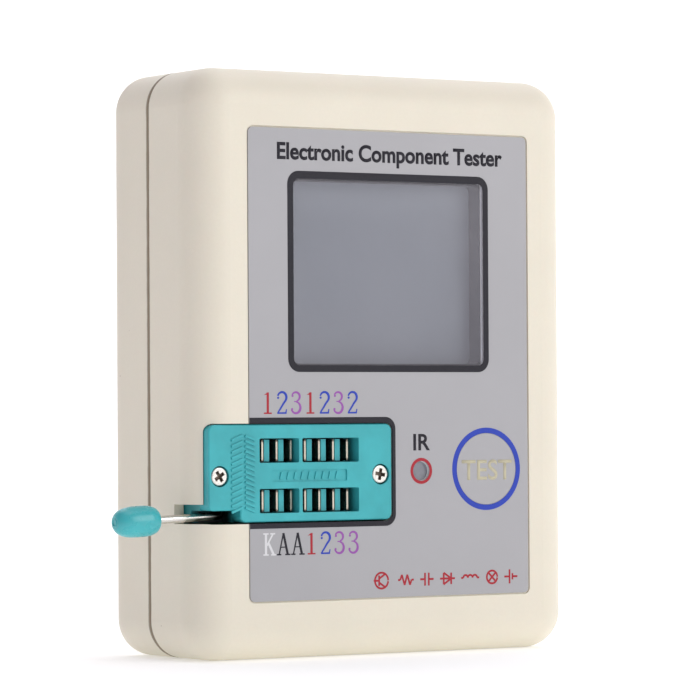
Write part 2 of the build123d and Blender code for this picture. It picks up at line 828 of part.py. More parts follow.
with BuildPart() as ir_receiver:
    with BuildSketch(at_y(board_front_y - 2.8)):
        with Locations((ir_x, ir_z)):
            RectangleRounded(6.6, 6.8, 0.5)
    extrude(amount=4.0)
    with BuildSketch(at_y(board_front_y - 6.8)):
        with Locations((ir_x, ir_z)):
            Circle(2.4)
    extrude(amount=1.4)
    fillet(ir_receiver.faces().sort_by(Axis.Y)[0].edges(), 1.3)
ir_receiver.part.label = "ir_receiver"

with BuildPart() as ir_receiver_leads:
    with BuildSketch(at_y(board_back_y + 1.0)):
        with Locations(*ir_lead_spots):
            Circle(ir_lead_r)
    extrude(amount=board_t + 1.0 + 2.8)
ir_receiver_leads.part.label = "ir_receiver_leads"

# ================= charging port and lamp =================

with BuildPart() as usb_port:
    with BuildSketch(Plane.YZ.offset(usb_x)):
        with Locations((usb_y, usb_z)):
            RectangleRounded(usb_t, usb_w, 0.6)
    extrude(amount=usb_l)
    with BuildSketch(Plane.YZ.offset(usb_x + usb_back_t)):
        with Locations((usb_y, usb_z)):
            RectangleRounded(usb_t - 2 * usb_shell_t, usb_w - 2 * usb_shell_t, 0.4)
    extrude(amount=usb_l + past, mode=Mode.SUBTRACT)
usb_port.part.label = "usb_port"

with BuildPart() as usb_tongue:
    with BuildSketch(Plane.YZ.offset(usb_x + usb_back_t)):
        with Locations((usb_y - tongue_off, usb_z)):
            Rectangle(tongue_t, tongue_w)
    extrude(amount=tongue_l)
usb_tongue.part.label = "usb_tongue"

with BuildPart() as charge_led:
    with BuildSketch(at_y(board_front_y)):
        with Locations((lamp_x, lamp_z)):
            Rectangle(2.0, 1.25)
    extrude(amount=0.5)
    with BuildSketch(at_y(board_front_y - 0.5)):
        with Locations((lamp_x, lamp_z)):
            Rectangle(1.3, 1.25)
    extrude(amount=0.4)
charge_led.part.label = "charge_led"

with BuildPart() as led_light_pipe:
    with BuildSketch(Plane.YZ.offset(pipe_x)):
        with Locations((lamp_y, lamp_z)):
            Circle(pipe_r)
    extrude(amount=case_w / 2 - pipe_x - 0.1)
    with BuildSketch(Plane.YZ.offset(pipe_x)):
        with Locations((lamp_y, lamp_z)):
            RectangleRounded(2.5, 3.4, 0.5)
    extrude(amount=pipe_flange_t)
led_light_pipe.part.label = "led_light_pipe"

# ================= electronics on the back of the board =================

chip_x = -2.0
chip_z = 46.0
chip_w = 7.0
leg_step = 0.8
leg_w = 0.36
leg_l = 1.1
leg_t = 0.25
with BuildPart() as microcontroller:
    with BuildSketch(at_y(board_back_y + 1.1)):
        with Locations((chip_x, chip_z)):
            Rectangle(chip_w, chip_w)
    extrude(amount=0.95)
    chamfer(microcontroller.faces().sort_by(Axis.Y)[-1].edges(), 0.2)
    with BuildSketch(at_y(board_back_y + leg_t)):
        with Locations((chip_x, chip_z)):
            with GridLocations(leg_step, chip_w + 1.0, 8, 2):
                Rectangle(leg_w, leg_l)
            with GridLocations(chip_w + 1.0, leg_step, 2, 8):
                Rectangle(leg_l, leg_w)
    extrude(amount=leg_t)
microcontroller.part.label = "microcontroller"

charger_spot = (22.5, 26.0)
with BuildPart() as charger_chip:
    with BuildSketch(at_y(board_back_y + 1.5)):
        with Locations(charger_spot):
            Rectangle(4.9, 3.9)
    extrude(amount=1.4)
    chamfer(charger_chip.faces().sort_by(Axis.Y)[-1].edges(), 0.2)
    with BuildSketch(at_y(board_back_y + leg_t)):
        with Locations(charger_spot):
            with GridLocations(1.27, 4.9, 4, 2):
                Rectangle(0.42, leg_l)
    extrude(amount=leg_t)
charger_chip.part.label = "charger_chip"

boost_spot = (23.0, 38.0)
with BuildPart() as boost_chip:
    with BuildSketch(at_y(board_back_y + 1.2)):
        with Locations(boost_spot):
            Rectangle(2.9, 1.6)
    extrude(amount=1.1)
    with BuildSketch(at_y(board_back_y + leg_t)):
        with Locations(boost_spot):
            with GridLocations(0.95, 2.2, 3, 2):
                Rectangle(0.4, 0.8)
    extrude(amount=leg_t)
boost_chip.part.label = "boost_chip"

inductor_spot = (24.0, 46.0)
inductor_h = 3.0
with BuildPart() as power_inductor:
    with BuildSketch(at_y(board_back_y + inductor_h)):
        with Locations(inductor_spot):
            RectangleRounded(5.8, 5.8, 1.6)
    extrude(amount=inductor_h)
    chamfer(power_inductor.faces().sort_by(Axis.Y)[-1].edges(), 0.35)
    with BuildSketch(at_y(board_back_y + inductor_h)):
        with Locations(inductor_spot):
            Circle(2.2)
            Circle(1.5, mode=Mode.SUBTRACT)
    extrude(amount=0.5, mode=Mode.SUBTRACT)
power_inductor.part.label = "power_inductor"

crystal_spot = (-2.0, 56.0)
crystal_h = 3.4
crystal_rim_t = 0.5
with BuildPart() as crystal:
    with BuildSketch(at_y(board_back_y + crystal_h)):
        with Locations(crystal_spot):
            SlotOverall(10.4, 4.0)
    extrude(amount=crystal_h)
    with BuildSketch(at_y(board_back_y + crystal_rim_t)):
        with Locations(crystal_spot):
            SlotOverall(11.2, 4.8)
    extrude(amount=crystal_rim_t)
crystal.part.label = "crystal"

can_spots = [(-25.0, 64.0), (-25.0, 56.0)]
can_h = 5.4
can_base_t = 0.9
with BuildPart() as filter_capacitors:
    with BuildSketch(at_y(board_back_y + can_base_t)):
        with Locations(*can_spots):
            Rectangle(5.4, 5.4)
    extrude(amount=can_base_t)
    with BuildSketch(at_y(board_back_y + can_h)):
        with Locations(*can_spots):
            Circle(2.5)
    extrude(amount=can_h - 0.8)
    fillet(filter_capacitors.faces().sort_by(Axis.Y)[-2:].edges(), 0.3)
filter_capacitors.part.label = "filter_capacitors"

resistor_spots = [(-12.0 + 3.0 * i, 66.0) for i in range(7)] + [(-24.0, 24.0 + 3.0 * i) for i in range(8)]
with BuildPart() as chip_resistors:
    with BuildSketch(at_y(board_back_y + 0.5)):
        with Locations(*resistor_spots):
            Rectangle(1.25, 2.0)
    extrude(amount=0.5)
chip_resistors.part.label = "chip_resistors"

capacitor_spots = [(-12.0, 40.0 + 3.2 * i) for i in range(5)] + [(8.0, 40.0 + 3.2 * i) for i in range(5)]
with BuildPart() as chip_capacitors:
    with BuildSketch(at_y(board_back_y + 0.8)):
        with Locations(*capacitor_spots):
            Rectangle(2.0, 1.25)
    extrude(amount=0.8)
chip_capacitors.part.label = "chip_capacitors"

transistor_spots = [(-18.0, 66.0), (-18.0, 44.0), (14.0, 66.0), (14.0, 40.0)]
with BuildPart() as small_transistors:
    with BuildSketch(at_y(board_back_y + 1.0)):
        with Locations(*transistor_spots):
            Rectangle(2.9, 1.3)
    extrude(amount=0.95)
    with BuildSketch(at_y(board_back_y + 0.2)):
        for leg_x, leg_z in ((-0.95, -0.9), (0.95, -0.9), (0, 0.9)):
            with Locations(*[(x + leg_x, z + leg_z) for x, z in transistor_spots]):
                Rectangle(0.4, 0.8)
    extrude(amount=0.2)
small_transistors.part.label = "small_transistors"

# ================= battery =================

cell_back_y = inner_back_y - 1.1
cell_front_y = cell_back_y - 5.3
with BuildPart() as battery_cell:
    with BuildSketch(at_y(cell_back_y)):
        with Locations((0, mid_z)):
            RectangleRounded(cell_w, cell_h, 1.5)
    extrude(amount=cell_back_y - cell_front_y)
    fillet(battery_cell.faces().sort_by(Axis.Y)[0].edges(), cell_round_r)
    fillet(battery_cell.faces().sort_by(Axis.Y)[-1].edges(), cell_round_r)
battery_cell.part.label = "battery_cell"

with BuildPart() as battery_tape:
    with BuildSketch(at_y(inner_back_y)):
        with Locations((0, mid_z)):
            Rectangle(24.0, 34.0)
    extrude(amount=inner_back_y - cell_back_y)
battery_tape.part.label = "battery_tape"

plug_x = 24.0
plug_z = 58.0
plug_y = board_back_y + 2.2
socket_h = 4.4
with BuildPart() as battery_socket:
    with BuildSketch(at_y(board_back_y + socket_h)):
        with Locations((plug_x, plug_z)):
            Rectangle(7.9, 6.0)
    extrude(amount=socket_h)
    with BuildSketch(Plane.XY.offset(plug_z + 3.0)):
        with Locations((plug_x, plug_y + 0.1)):
            Rectangle(6.3, 3.1)
    extrude(amount=-5.0, mode=Mode.SUBTRACT)
battery_socket.part.label = "battery_socket"

with BuildPart() as battery_plug:
    with BuildSketch(Plane.XY.offset(plug_z - 1.9)):
        with Locations((plug_x, plug_y + 0.1)):
            Rectangle(6.2, 3.0)
    extrude(amount=6.6)
battery_plug.part.label = "battery_plug"

lead_r = 0.55
lead_bend_r = 2.0
lead_off = 1.0
lead_end_x = 3.0
lead_z = plug_z + 4.7
lead_end_y = (cell_front_y + cell_back_y) / 2
lead_end_z = mid_z + cell_h / 2
with BuildPart() as battery_lead_red:
    with BuildLine() as red_line:
        FilletPolyline(
            (plug_x - lead_off, plug_y, lead_z),
            (plug_x - lead_off, plug_y, lead_z + 5.0),
            (lead_end_x, lead_end_y, lead_end_z + 6.0),
            (lead_end_x, lead_end_y, lead_end_z),
            radius=lead_bend_r,
        )
    with BuildSketch(Plane.XY.offset(lead_z)):
        with Locations((plug_x - lead_off, plug_y)):
            Circle(lead_r)
    sweep(path=red_line.wires()[0])
battery_lead_red.part.label = "battery_lead_red"

with BuildPart() as battery_lead_black:
    with BuildLine() as black_line:
        FilletPolyline(
            (plug_x + lead_off, plug_y, lead_z),
            (plug_x + lead_off, plug_y, lead_z + 7.5),
            (-lead_end_x, lead_end_y, lead_end_z + 8.5),
            (-lead_end_x, lead_end_y, lead_end_z),
            radius=lead_bend_r,
        )
    with BuildSketch(Plane.XY.offset(lead_z)):
        with Locations((plug_x + lead_off, plug_y)):
            Circle(lead_r)
    sweep(path=black_line.wires()[0])
battery_lead_black.part.label = "battery_lead_black"

# ================= export =================

os.makedirs("parts", exist_ok=True)
pieces = [
    front_shell, back_shell, case_screws, label_overlay, display_window, ir_window, display_gasket,
    display_panel, display_frame, display_flex, main_board, board_screws, zif_base, zif_cover,
    zif_cover_screws, zif_contacts, zif_slider, zif_lever, zif_lever_knob, start_key_film,
    start_button_cap, tact_switch_stem, tact_switch_body, tact_switch_cover, ir_receiver,
    ir_receiver_leads, usb_port, usb_tongue, charge_led, led_light_pipe, microcontroller,
    charger_chip, boost_chip, power_inductor, crystal, filter_capacitors, chip_resistors,
    chip_capacitors, small_transistors, battery_cell, battery_tape, battery_socket, battery_plug,
    battery_lead_red, battery_lead_black,
]
for piece in pieces:
    export_step(piece.part, f"parts/{piece.part.label}.step")
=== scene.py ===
import json
import math

import bmesh
import bpy
from mathutils import Matrix, Vector


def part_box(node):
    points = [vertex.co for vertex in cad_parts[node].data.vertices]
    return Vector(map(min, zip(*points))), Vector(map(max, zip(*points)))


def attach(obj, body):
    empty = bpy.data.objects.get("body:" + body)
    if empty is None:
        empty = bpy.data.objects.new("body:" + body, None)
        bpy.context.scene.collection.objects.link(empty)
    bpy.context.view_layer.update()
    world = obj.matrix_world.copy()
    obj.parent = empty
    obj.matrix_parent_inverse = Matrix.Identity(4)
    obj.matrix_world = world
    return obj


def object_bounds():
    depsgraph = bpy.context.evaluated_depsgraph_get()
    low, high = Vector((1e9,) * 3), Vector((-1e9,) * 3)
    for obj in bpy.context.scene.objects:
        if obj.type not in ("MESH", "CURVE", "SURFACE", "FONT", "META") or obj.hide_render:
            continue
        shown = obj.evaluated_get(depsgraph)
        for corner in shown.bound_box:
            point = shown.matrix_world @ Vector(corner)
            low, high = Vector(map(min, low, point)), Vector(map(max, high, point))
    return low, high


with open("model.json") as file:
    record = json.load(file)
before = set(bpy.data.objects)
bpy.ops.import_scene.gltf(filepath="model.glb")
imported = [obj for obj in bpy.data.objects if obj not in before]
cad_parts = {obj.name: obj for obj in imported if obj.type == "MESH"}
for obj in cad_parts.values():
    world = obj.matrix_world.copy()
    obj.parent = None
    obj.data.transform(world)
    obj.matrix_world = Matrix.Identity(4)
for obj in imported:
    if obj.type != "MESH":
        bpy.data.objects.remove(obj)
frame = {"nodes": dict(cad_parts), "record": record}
cad_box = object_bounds()

MM = 0.001
NODES = frame["nodes"]

# ---- places taken from the frame, in millimetres ----
FRONT_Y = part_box("front_shell")[0].y / MM
SEAM_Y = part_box("front_shell")[1].y / MM
LABEL_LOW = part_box("label_overlay")[0] / MM
LABEL_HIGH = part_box("label_overlay")[1] / MM
LABEL_Y = LABEL_LOW.y
WINDOW_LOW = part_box("display_window")[0] / MM
WINDOW_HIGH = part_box("display_window")[1] / MM
COVER_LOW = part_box("zif_cover")[0] / MM
COVER_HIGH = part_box("zif_cover")[1] / MM
KEY_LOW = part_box("start_key_film")[0] / MM
KEY_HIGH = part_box("start_key_film")[1] / MM
IR_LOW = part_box("ir_window")[0] / MM
IR_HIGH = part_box("ir_window")[1] / MM
KEY_X = (KEY_LOW.x + KEY_HIGH.x) / 2
KEY_Z = (KEY_LOW.z + KEY_HIGH.z) / 2
IR_X = (IR_LOW.x + IR_HIGH.x) / 2
IR_Z = (IR_LOW.z + IR_HIGH.z) / 2
LEVER_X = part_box("zif_lever")[1].x / MM
MID_Z = (cad_box[0].z + cad_box[1].z) / 2 / MM
LABEL_BACK_Y = LABEL_HIGH.y

# ---- places of features that have no node of their own, in millimetres ----
POCKET_X = -14.72
POCKET_Z = MID_Z - 17.0
SOCKET_Z = MID_Z - 16.97
ROW_HALF = 3.81
PIN_PITCH = 2.54
OPENING_LOW = MID_Z - 24.20
OPENING_HIGH = MID_Z - 9.05
OPENING_RIGHT = 0.35
OPENING_CORNER = 1.2
PICTURE_RIGHT = 17.40
# where shade and a highlight are painted on the walls of the display opening
PAINTED_LIGHT_DEPTH = (FRONT_Y + 0.26, FRONT_Y + 3.4)
PAINTED_LIGHT_HEIGHT = (WINDOW_LOW.z - 0.2, WINDOW_HIGH.z + 0.2)
PAINTED_SHADE_RIGHT = WINDOW_HIGH.x - 0.35

# ---- printing ----
INK = 0.012
INK_Y = LABEL_Y - 0.004
FIGURE_W = 1.95
LETTER_W = 2.15

# range that most of a noise pattern's values fall in
NOISE_LOW = 0.3
NOISE_HIGH = 0.7


# ======================= node materials =======================

class Shader:
    """A node material with short calls for the patterns used here. Patterns run on object coordinates."""

    def __init__(self, name, metallic=0.0, roughness=0.5):
        self.material = bpy.data.materials.new(name)
        self.material.use_nodes = True
        self.tree = self.material.node_tree
        self.surface = self.tree.nodes["Principled BSDF"]
        self.surface.inputs["Metallic"].default_value = metallic
        self.surface.inputs["Roughness"].default_value = roughness
        self.place = self.node("ShaderNodeTexCoord").outputs["Object"]

    def node(self, kind, **inputs):
        made = self.tree.nodes.new(kind)
        for name, value in inputs.items():
            self.plug(made.inputs[name.replace("_", " ")], value)
        return made

    def plug(self, socket, value):
        if isinstance(value, bpy.types.NodeSocket):
            self.tree.links.new(value, socket)
        elif isinstance(value, tuple) and len(value) == 3 and socket.type == "RGBA":
            socket.default_value = (*value, 1.0)
        else:
            socket.default_value = value

    def math(self, operation, a, b=0.0, clamp=False):
        made = self.tree.nodes.new("ShaderNodeMath")
        made.operation = operation
        made.use_clamp = clamp
        self.plug(made.inputs[0], a)
        self.plug(made.inputs[1], b)
        return made.outputs[0]

    def stretched(self, x, y, z):
        """Object coordinates scaled along each axis."""
        made = self.tree.nodes.new("ShaderNodeMapping")
        self.plug(made.inputs["Vector"], self.place)
        made.inputs["Scale"].default_value = (x, y, z)
        return made.outputs[0]

    def noise(self, size_mm, detail=3.0, rough=0.55, place=None, offset=0.0):
        """Noise between about NOISE_LOW and NOISE_HIGH, with features of this size."""
        made = self.tree.nodes.new("ShaderNodeTexNoise")
        made.noise_dimensions = "4D"
        self.plug(made.inputs["Vector"], place or self.place)
        made.inputs["W"].default_value = offset
        made.inputs["Scale"].default_value = 1.0 / (size_mm * MM)
        made.inputs["Detail"].default_value = detail
        made.inputs["Roughness"].default_value = rough
        return made.outputs["Fac"]

    def cells(self, size_mm, feature="F1"):
        made = self.tree.nodes.new("ShaderNodeTexVoronoi")
        made.feature = feature
        self.plug(made.inputs["Vector"], self.place)
        made.inputs["Scale"].default_value = 1.0 / (size_mm * MM)
        return made.outputs["Distance"]

    def remap(self, value, low, high, to_low=0.0, to_high=1.0, smooth=False):
        made = self.tree.nodes.new("ShaderNodeMapRange")
        made.interpolation_type = "SMOOTHSTEP" if smooth else "LINEAR"
        self.plug(made.inputs["Value"], value)
        made.inputs["From Min"].default_value = low
        made.inputs["From Max"].default_value = high
        made.inputs["To Min"].default_value = to_low
        made.inputs["To Max"].default_value = to_high
        return made.outputs["Result"]

    def spread(self, noise, to_low=0.0, to_high=1.0):
        """Noise drawn out over a range."""
        return self.remap(noise, NOISE_LOW, NOISE_HIGH, to_low, to_high)

    def mix(self, share, a, b):
        made = self.tree.nodes.new("ShaderNodeMix")
        made.data_type = "RGBA"
        self.plug(made.inputs[0], share)
        self.plug(made.inputs[6], a)
        self.plug(made.inputs[7], b)
        return made.outputs[2]

    def axis(self, name):
        made = self.node("ShaderNodeSeparateXYZ", Vector=self.place)
        return made.outputs[name]

    def within(self, axis, low_mm, high_mm, soft_mm=0.03):
        """1 between two places on an axis, 0 outside."""
        place = self.axis(axis)
        above = self.remap(place, (low_mm - soft_mm) * MM, (low_mm + soft_mm) * MM)
        below = self.remap(place, (high_mm + soft_mm) * MM, (high_mm - soft_mm) * MM)
        return self.math("MULTIPLY", above, below)

    def box_mask(self, x, y, z, soft_mm=0.03):
        flat = self.math("MULTIPLY", self.within("X", *x, soft_mm), self.within("Z", *z, soft_mm))
        return self.math("MULTIPLY", flat, self.within("Y", *y, soft_mm))

    def colour(self, value):
        self.plug(self.surface.inputs["Base Color"], value)

    def rough(self, value):
        self.plug(self.surface.inputs["Roughness"], value)

    def bump(self, height, depth_mm, strength=1.0):
        made = self.tree.nodes.new("ShaderNodeBump")
        made.inputs["Strength"].default_value = strength
        made.inputs["Distance"].default_value = depth_mm * MM
        self.plug(made.inputs["Height"], height)
        previous = self.surface.inputs["Normal"]
        if previous.is_linked:
            self.plug(made.inputs["Normal"], previous.links[0].from_socket)
        self.tree.links.new(made.outputs["Normal"], previous)

    def put(self, **inputs):
        for name, value in inputs.items():
            self.plug(self.surface.inputs[name.replace("_", " ")], value)


def shade(colour, factor):
    return tuple(c * factor for c in colour)


LABEL_GREY = (0.424, 0.426, 0.446)


def case_cream():
    """Moulded cream plastic: fine spark texture, faint mottling, a few dark specks, dust and painted shade
    in the seam.
    """
    s = Shader("case_cream")
    base = (0.825, 0.780, 0.655)
    mottle = s.remap(s.noise(14.0), 0.35, 0.65)
    colour = s.mix(mottle, shade(base, 0.985), shade(base, 1.015))
    grain = s.spread(s.noise(0.5, 2.0))
    colour = s.mix(s.math("MULTIPLY", grain, 0.35), colour, shade(base, 0.955))
    speck = s.remap(s.cells(9.0), 0.022, 0.012)
    colour = s.mix(s.math("MULTIPLY", speck, 0.55), colour, (0.30, 0.22, 0.14))
    # dust and painted shade along the seam: the groove and its rounded edges darkened brown
    off_seam = s.math("ABSOLUTE", s.math("SUBTRACT", s.axis("Y"), (SEAM_Y + 0.08) * MM))
    off_seam = s.math("ADD", off_seam, s.spread(s.noise(2.5), -0.06 * MM, 0.06 * MM))
    seam_dust_and_shade = s.remap(off_seam, 0.56 * MM, 0.30 * MM, smooth=True)
    colour = s.mix(s.math("MULTIPLY", seam_dust_and_shade, 0.80), colour, (0.20, 0.148, 0.088))
    # painted shade: the groove at the sides of the label a little darker brown
    groove_shade = s.box_mask(
        (LABEL_LOW.x - 0.3, LABEL_HIGH.x + 0.3),
        (FRONT_Y + 0.16, FRONT_Y + 0.5),
        (LABEL_LOW.z + 0.9, LABEL_HIGH.z - 0.9),
        0.3,
    )
    colour = s.mix(s.math("MULTIPLY", groove_shade, 0.10), colour, (0.30, 0.23, 0.16))
    # painted shade: the walls in the display opening coloured near black, where they lie in shadow behind
    # the film
    opening_shade = s.box_mask(
        (WINDOW_LOW.x - 0.2, PAINTED_SHADE_RIGHT),
        PAINTED_LIGHT_DEPTH,
        PAINTED_LIGHT_HEIGHT,
    )
    colour = s.mix(opening_shade, colour, (0.016, 0.015, 0.020))
    # painted highlight: a blue-grey lit line on the wall at the right of the opening
    ledge_highlight = s.box_mask(
        (PAINTED_SHADE_RIGHT, WINDOW_HIGH.x + 0.2),
        PAINTED_LIGHT_DEPTH,
        PAINTED_LIGHT_HEIGHT,
    )
    colour = s.mix(ledge_highlight, colour, (0.46, 0.468, 0.52))
    s.colour(colour)
    s.rough(s.spread(s.noise(3.0), 0.40, 0.50))
    s.put(Specular_IOR_Level=0.42, Subsurface_Weight=0.05, Subsurface_Scale=0.0012)
    s.bump(s.noise(0.32, 3.0, 0.6), 0.014, 0.55)
    s.bump(s.noise(9.0, 2.0), 0.05, 0.25)
    return s.material


def label_print():
    """Satin polyester film printed grey on its back."""
    s = Shader("label_print")
    base = LABEL_GREY
    colour = s.mix(s.remap(s.noise(22.0), 0.35, 0.65), shade(base, 0.975), shade(base, 1.02))
    flecks = s.math("MULTIPLY", s.spread(s.noise(0.22, 2.0)), 0.25)
    colour = s.mix(flecks, colour, shade(base, 0.94))
    s.colour(colour)
    s.rough(s.spread(s.noise(1.2), 0.34, 0.44))
    s.put(Specular_IOR_Level=0.45)
    s.bump(s.noise(0.18, 2.0), 0.006, 0.5)
    s.bump(s.noise(16.0, 1.0), 0.05, 0.2)
    return s.material


def clear_film():
    """Clear hard-coated film with a faint haze."""
    s = Shader("clear_film")
    haze = s.spread(s.noise(18.0))
    s.colour(s.mix(haze, (0.56, 0.555, 0.62), (0.62, 0.615, 0.68)))
    s.rough(s.spread(s.noise(4.0), 0.12, 0.18))
    s.put(Alpha=s.remap(haze, 0.0, 1.0, 0.135, 0.158), IOR=1.49, Specular_IOR_Level=0.3)
    s.bump(s.noise(30.0, 1.0), 0.03, 0.1)
    return s.material


def ir_filter():
    s = Shader("ir_filter")
    s.colour(s.mix(s.spread(s.noise(1.2)), (0.215, 0.225, 0.255), (0.265, 0.275, 0.31)))
    s.rough(s.spread(s.noise(0.6), 0.16, 0.26))
    s.put(Coat_Weight=0.4)
    s.bump(s.noise(0.8, 2.0), 0.01, 0.3)
    return s.material


def foam_black():
    s = Shader("foam_black")
    cells = s.cells(0.35)
    s.colour(s.mix(s.remap(cells, 0.0, 0.6), (0.012, 0.012, 0.013), (0.045, 0.045, 0.047)))
    s.rough(0.92)
    s.bump(cells, 0.08, 0.8)
    return s.material


def lcd_glass():
    """Unlit display: grey polariser over the picture area with a darker masked margin, and painted light
    on the picture.
    """
    s = Shader("lcd_glass")
    # painted sheen: the picture lighter towards the top
    sheen = s.remap(s.axis("Z"), WINDOW_LOW.z * MM, WINDOW_HIGH.z * MM)
    picture = s.mix(sheen, (0.192, 0.218, 0.252), (0.222, 0.250, 0.288))
    clouds = s.math("MULTIPLY", s.spread(s.noise(11.0)), 0.3)
    picture = s.mix(clouds, picture, (0.190, 0.214, 0.250))
    # painted light: lighter near the top and left edges, to cancel the shadow that the frame casts
    near_top = s.remap(s.axis("Z"), (WINDOW_HIGH.z - 7.0) * MM, (WINDOW_HIGH.z - 0.5) * MM, smooth=True)
    near_left = s.remap(s.axis("X"), (WINDOW_LOW.x + 5.0) * MM, (WINDOW_LOW.x + 0.5) * MM, smooth=True)
    edge_fill_light = s.math("MAXIMUM", near_top, s.math("MULTIPLY", near_left, 0.5))
    picture = s.mix(edge_fill_light, picture, (0.262, 0.294, 0.336))
    margin = s.remap(s.axis("X"), (PICTURE_RIGHT - 0.05) * MM, (PICTURE_RIGHT + 0.05) * MM)
    s.colour(s.mix(margin, picture, (0.024, 0.026, 0.040)))
    s.rough(s.spread(s.noise(9.0, 2.0), 0.40, 0.46))
    s.put(Specular_IOR_Level=0.2)
    s.bump(s.noise(14.0, 1.0), 0.01, 0.1)
    return s.material


def moulded(name, base, rough_low, rough_high, texture_mm=0.3, texture_depth=0.012, specular=0.4):
    """Moulded plastic with flow mottling, fine texture and slightly paler rubbed spots."""
    s = Shader(name)
    colour = s.mix(s.remap(s.noise(5.0), 0.35, 0.65), shade(base, 0.92), shade(base, 1.06))
    rubbed = s.remap(s.noise(1.6, 4.0, 0.7, offset=3.0), 0.58, 0.75)
    paler = tuple(min(1.0, c * 1.12 + 0.02) for c in base)
    colour = s.mix(s.math("MULTIPLY", rubbed, 0.35), colour, paler)
    s.colour(colour)
    s.rough(s.spread(s.noise(1.1), rough_low, rough_high))
    s.put(Specular_IOR_Level=specular)
    s.bump(s.noise(texture_mm, 3.0), texture_depth, 0.5)
    return s


def socket_teal():
    """Teal plastic with painted shade: darker deep in the lead windows, and less so at the side in the
    lever notch.
    """
    s = moulded("socket_teal", (0.050, 0.449, 0.490), 0.36, 0.46)
    surface = s.surface.inputs["Base Color"].links[0].from_socket
    # painted shade: darker with depth behind the cover, less so near its left end at the lever notch
    depth = s.remap(s.axis("Y"), COVER_LOW.y * MM + 0.0012, COVER_LOW.y * MM + 0.0042, smooth=True)
    share = s.remap(s.axis("X"), (COVER_LOW.x + 0.3) * MM, (COVER_LOW.x + 1.5) * MM, 0.30, 0.97)
    s.colour(s.mix(s.math("MULTIPLY", depth, share), surface, (0.004, 0.006, 0.006)))
    s.put(Subsurface_Weight=0.03, Subsurface_Scale=0.0005)
    return s.material


def knob_teal():
    s = moulded("knob_teal", (0.050, 0.475, 0.515), 0.24, 0.34, 0.6, 0.01, 0.5)
    s.put(Subsurface_Weight=0.06, Subsurface_Scale=0.0008, Coat_Weight=0.25, Coat_Roughness=0.22)
    return s.material


def metal(name, base, rough_low, rough_high, grain=(1.0, 1.0, 1.0), grain_mm=0.25, stain=0.25):
    """Metal with drawn or plated grain and faint staining."""
    s = Shader(name, metallic=1.0)
    grained = s.noise(grain_mm, 3.0, 0.6, place=s.stretched(*grain))
    colour = s.mix(s.spread(grained), shade(base, 0.90), shade(base, 1.04))
    dull = s.remap(s.noise(2.2, 4.0, 0.65, offset=1.0), 0.52, 0.72)
    colour = s.mix(s.math("MULTIPLY", dull, stain), colour, shade(base, 0.62))
    s.colour(colour)
    s.rough(s.spread(grained, rough_low, rough_high))
    s.bump(grained, 0.006, 0.5)
    return s


def lever_wire():
    """Drawn steel wire, with painted shade: near black where it enters the socket."""
    s = metal("wire_steel", (0.74, 0.72, 0.68), 0.16, 0.30, (0.12, 1.0, 1.0), 0.10)
    bright = s.surface.inputs["Base Color"].links[0].from_socket
    # painted shade: near black where the wire goes into the notch
    notch_x = LEVER_X - 2.3
    notch_shade = s.remap(s.axis("X"), notch_x * MM - 0.0022, notch_x * MM + 0.0006, smooth=True)
    s.colour(s.mix(notch_shade, bright, (0.010, 0.009, 0.008)))
    return s.material


def contact_tin():
    """Tinned blades, darker towards the ends of each window."""
    s = metal("contact_tin", (0.60, 0.545, 0.455), 0.24, 0.38, (1.0, 1.0, 0.3), 0.12, 0.5)
    bright = s.surface.inputs["Base Color"].links[0].from_socket
    # darker towards the ends of each window
    off_middle = s.math("ABSOLUTE", s.math("SUBTRACT", s.axis("Z"), SOCKET_Z * MM))
    off_row = s.math("ABSOLUTE", s.math("SUBTRACT", off_middle, ROW_HALF * MM))
    darkening = s.math("ADD", off_row, s.spread(s.noise(0.7), -0.2 * MM, 0.2 * MM))
    share = s.remap(darkening, 1.15 * MM, 1.55 * MM, 0.0, 0.85, smooth=True)
    s.colour(s.mix(share, bright, (0.035, 0.028, 0.022)))
    return s.material


def cover_screw():
    """Nickel screw head with dirt and painted shade in the cross recess and round the rim."""
    s = metal("cover_screw", (0.86, 0.83, 0.78), 0.22, 0.36, grain_mm=0.20)
    bright = s.surface.inputs["Base Color"].links[0].from_socket
    head_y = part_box("zif_cover_screws")[0].y
    # dirt and painted shade: brown-black in the cross recess and round the rim
    sunk = s.remap(s.axis("Y"), head_y + 0.00010, head_y + 0.00022)
    darkening = s.mix(s.remap(s.noise(0.35), 0.35, 0.65), (0.030, 0.020, 0.012), (0.200, 0.135, 0.080))
    s.colour(s.mix(s.math("MULTIPLY", sunk, 0.93), bright, darkening))
    s.put(Metallic=s.math("SUBTRACT", 1.0, s.math("MULTIPLY", sunk, 0.8)))
    return s.material


def board_green():
    """Solder mask over copper tracks."""
    s = Shader("board_green")
    tracks = s.cells(2.6, "DISTANCE_TO_EDGE")
    on_track = s.remap(tracks, 0.10, 0.06)
    colour = s.mix(on_track, (0.012, 0.125, 0.050), (0.028, 0.215, 0.085))
    colour = s.mix(s.math("MULTIPLY", s.spread(s.noise(8.0)), 0.3), colour, (0.010, 0.10, 0.045))
    s.colour(colour)
    s.rough(s.spread(s.noise(1.5), 0.28, 0.42))
    s.bump(on_track, 0.03, 0.6)
    return s.material


def flex_amber():
    s = Shader("flex_amber")
    stripes = s.math("SINE", s.math("MULTIPLY", s.axis("Z"), 2 * math.pi / (0.5 * MM)))
    colour = s.mix(s.remap(stripes, -0.2, 0.2), (0.30, 0.10, 0.015), (0.50, 0.22, 0.04))
    s.colour(colour)
    s.rough(s.spread(s.noise(1.0), 0.25, 0.4))
    s.bump(stripes, 0.01, 0.3)
    return s.material


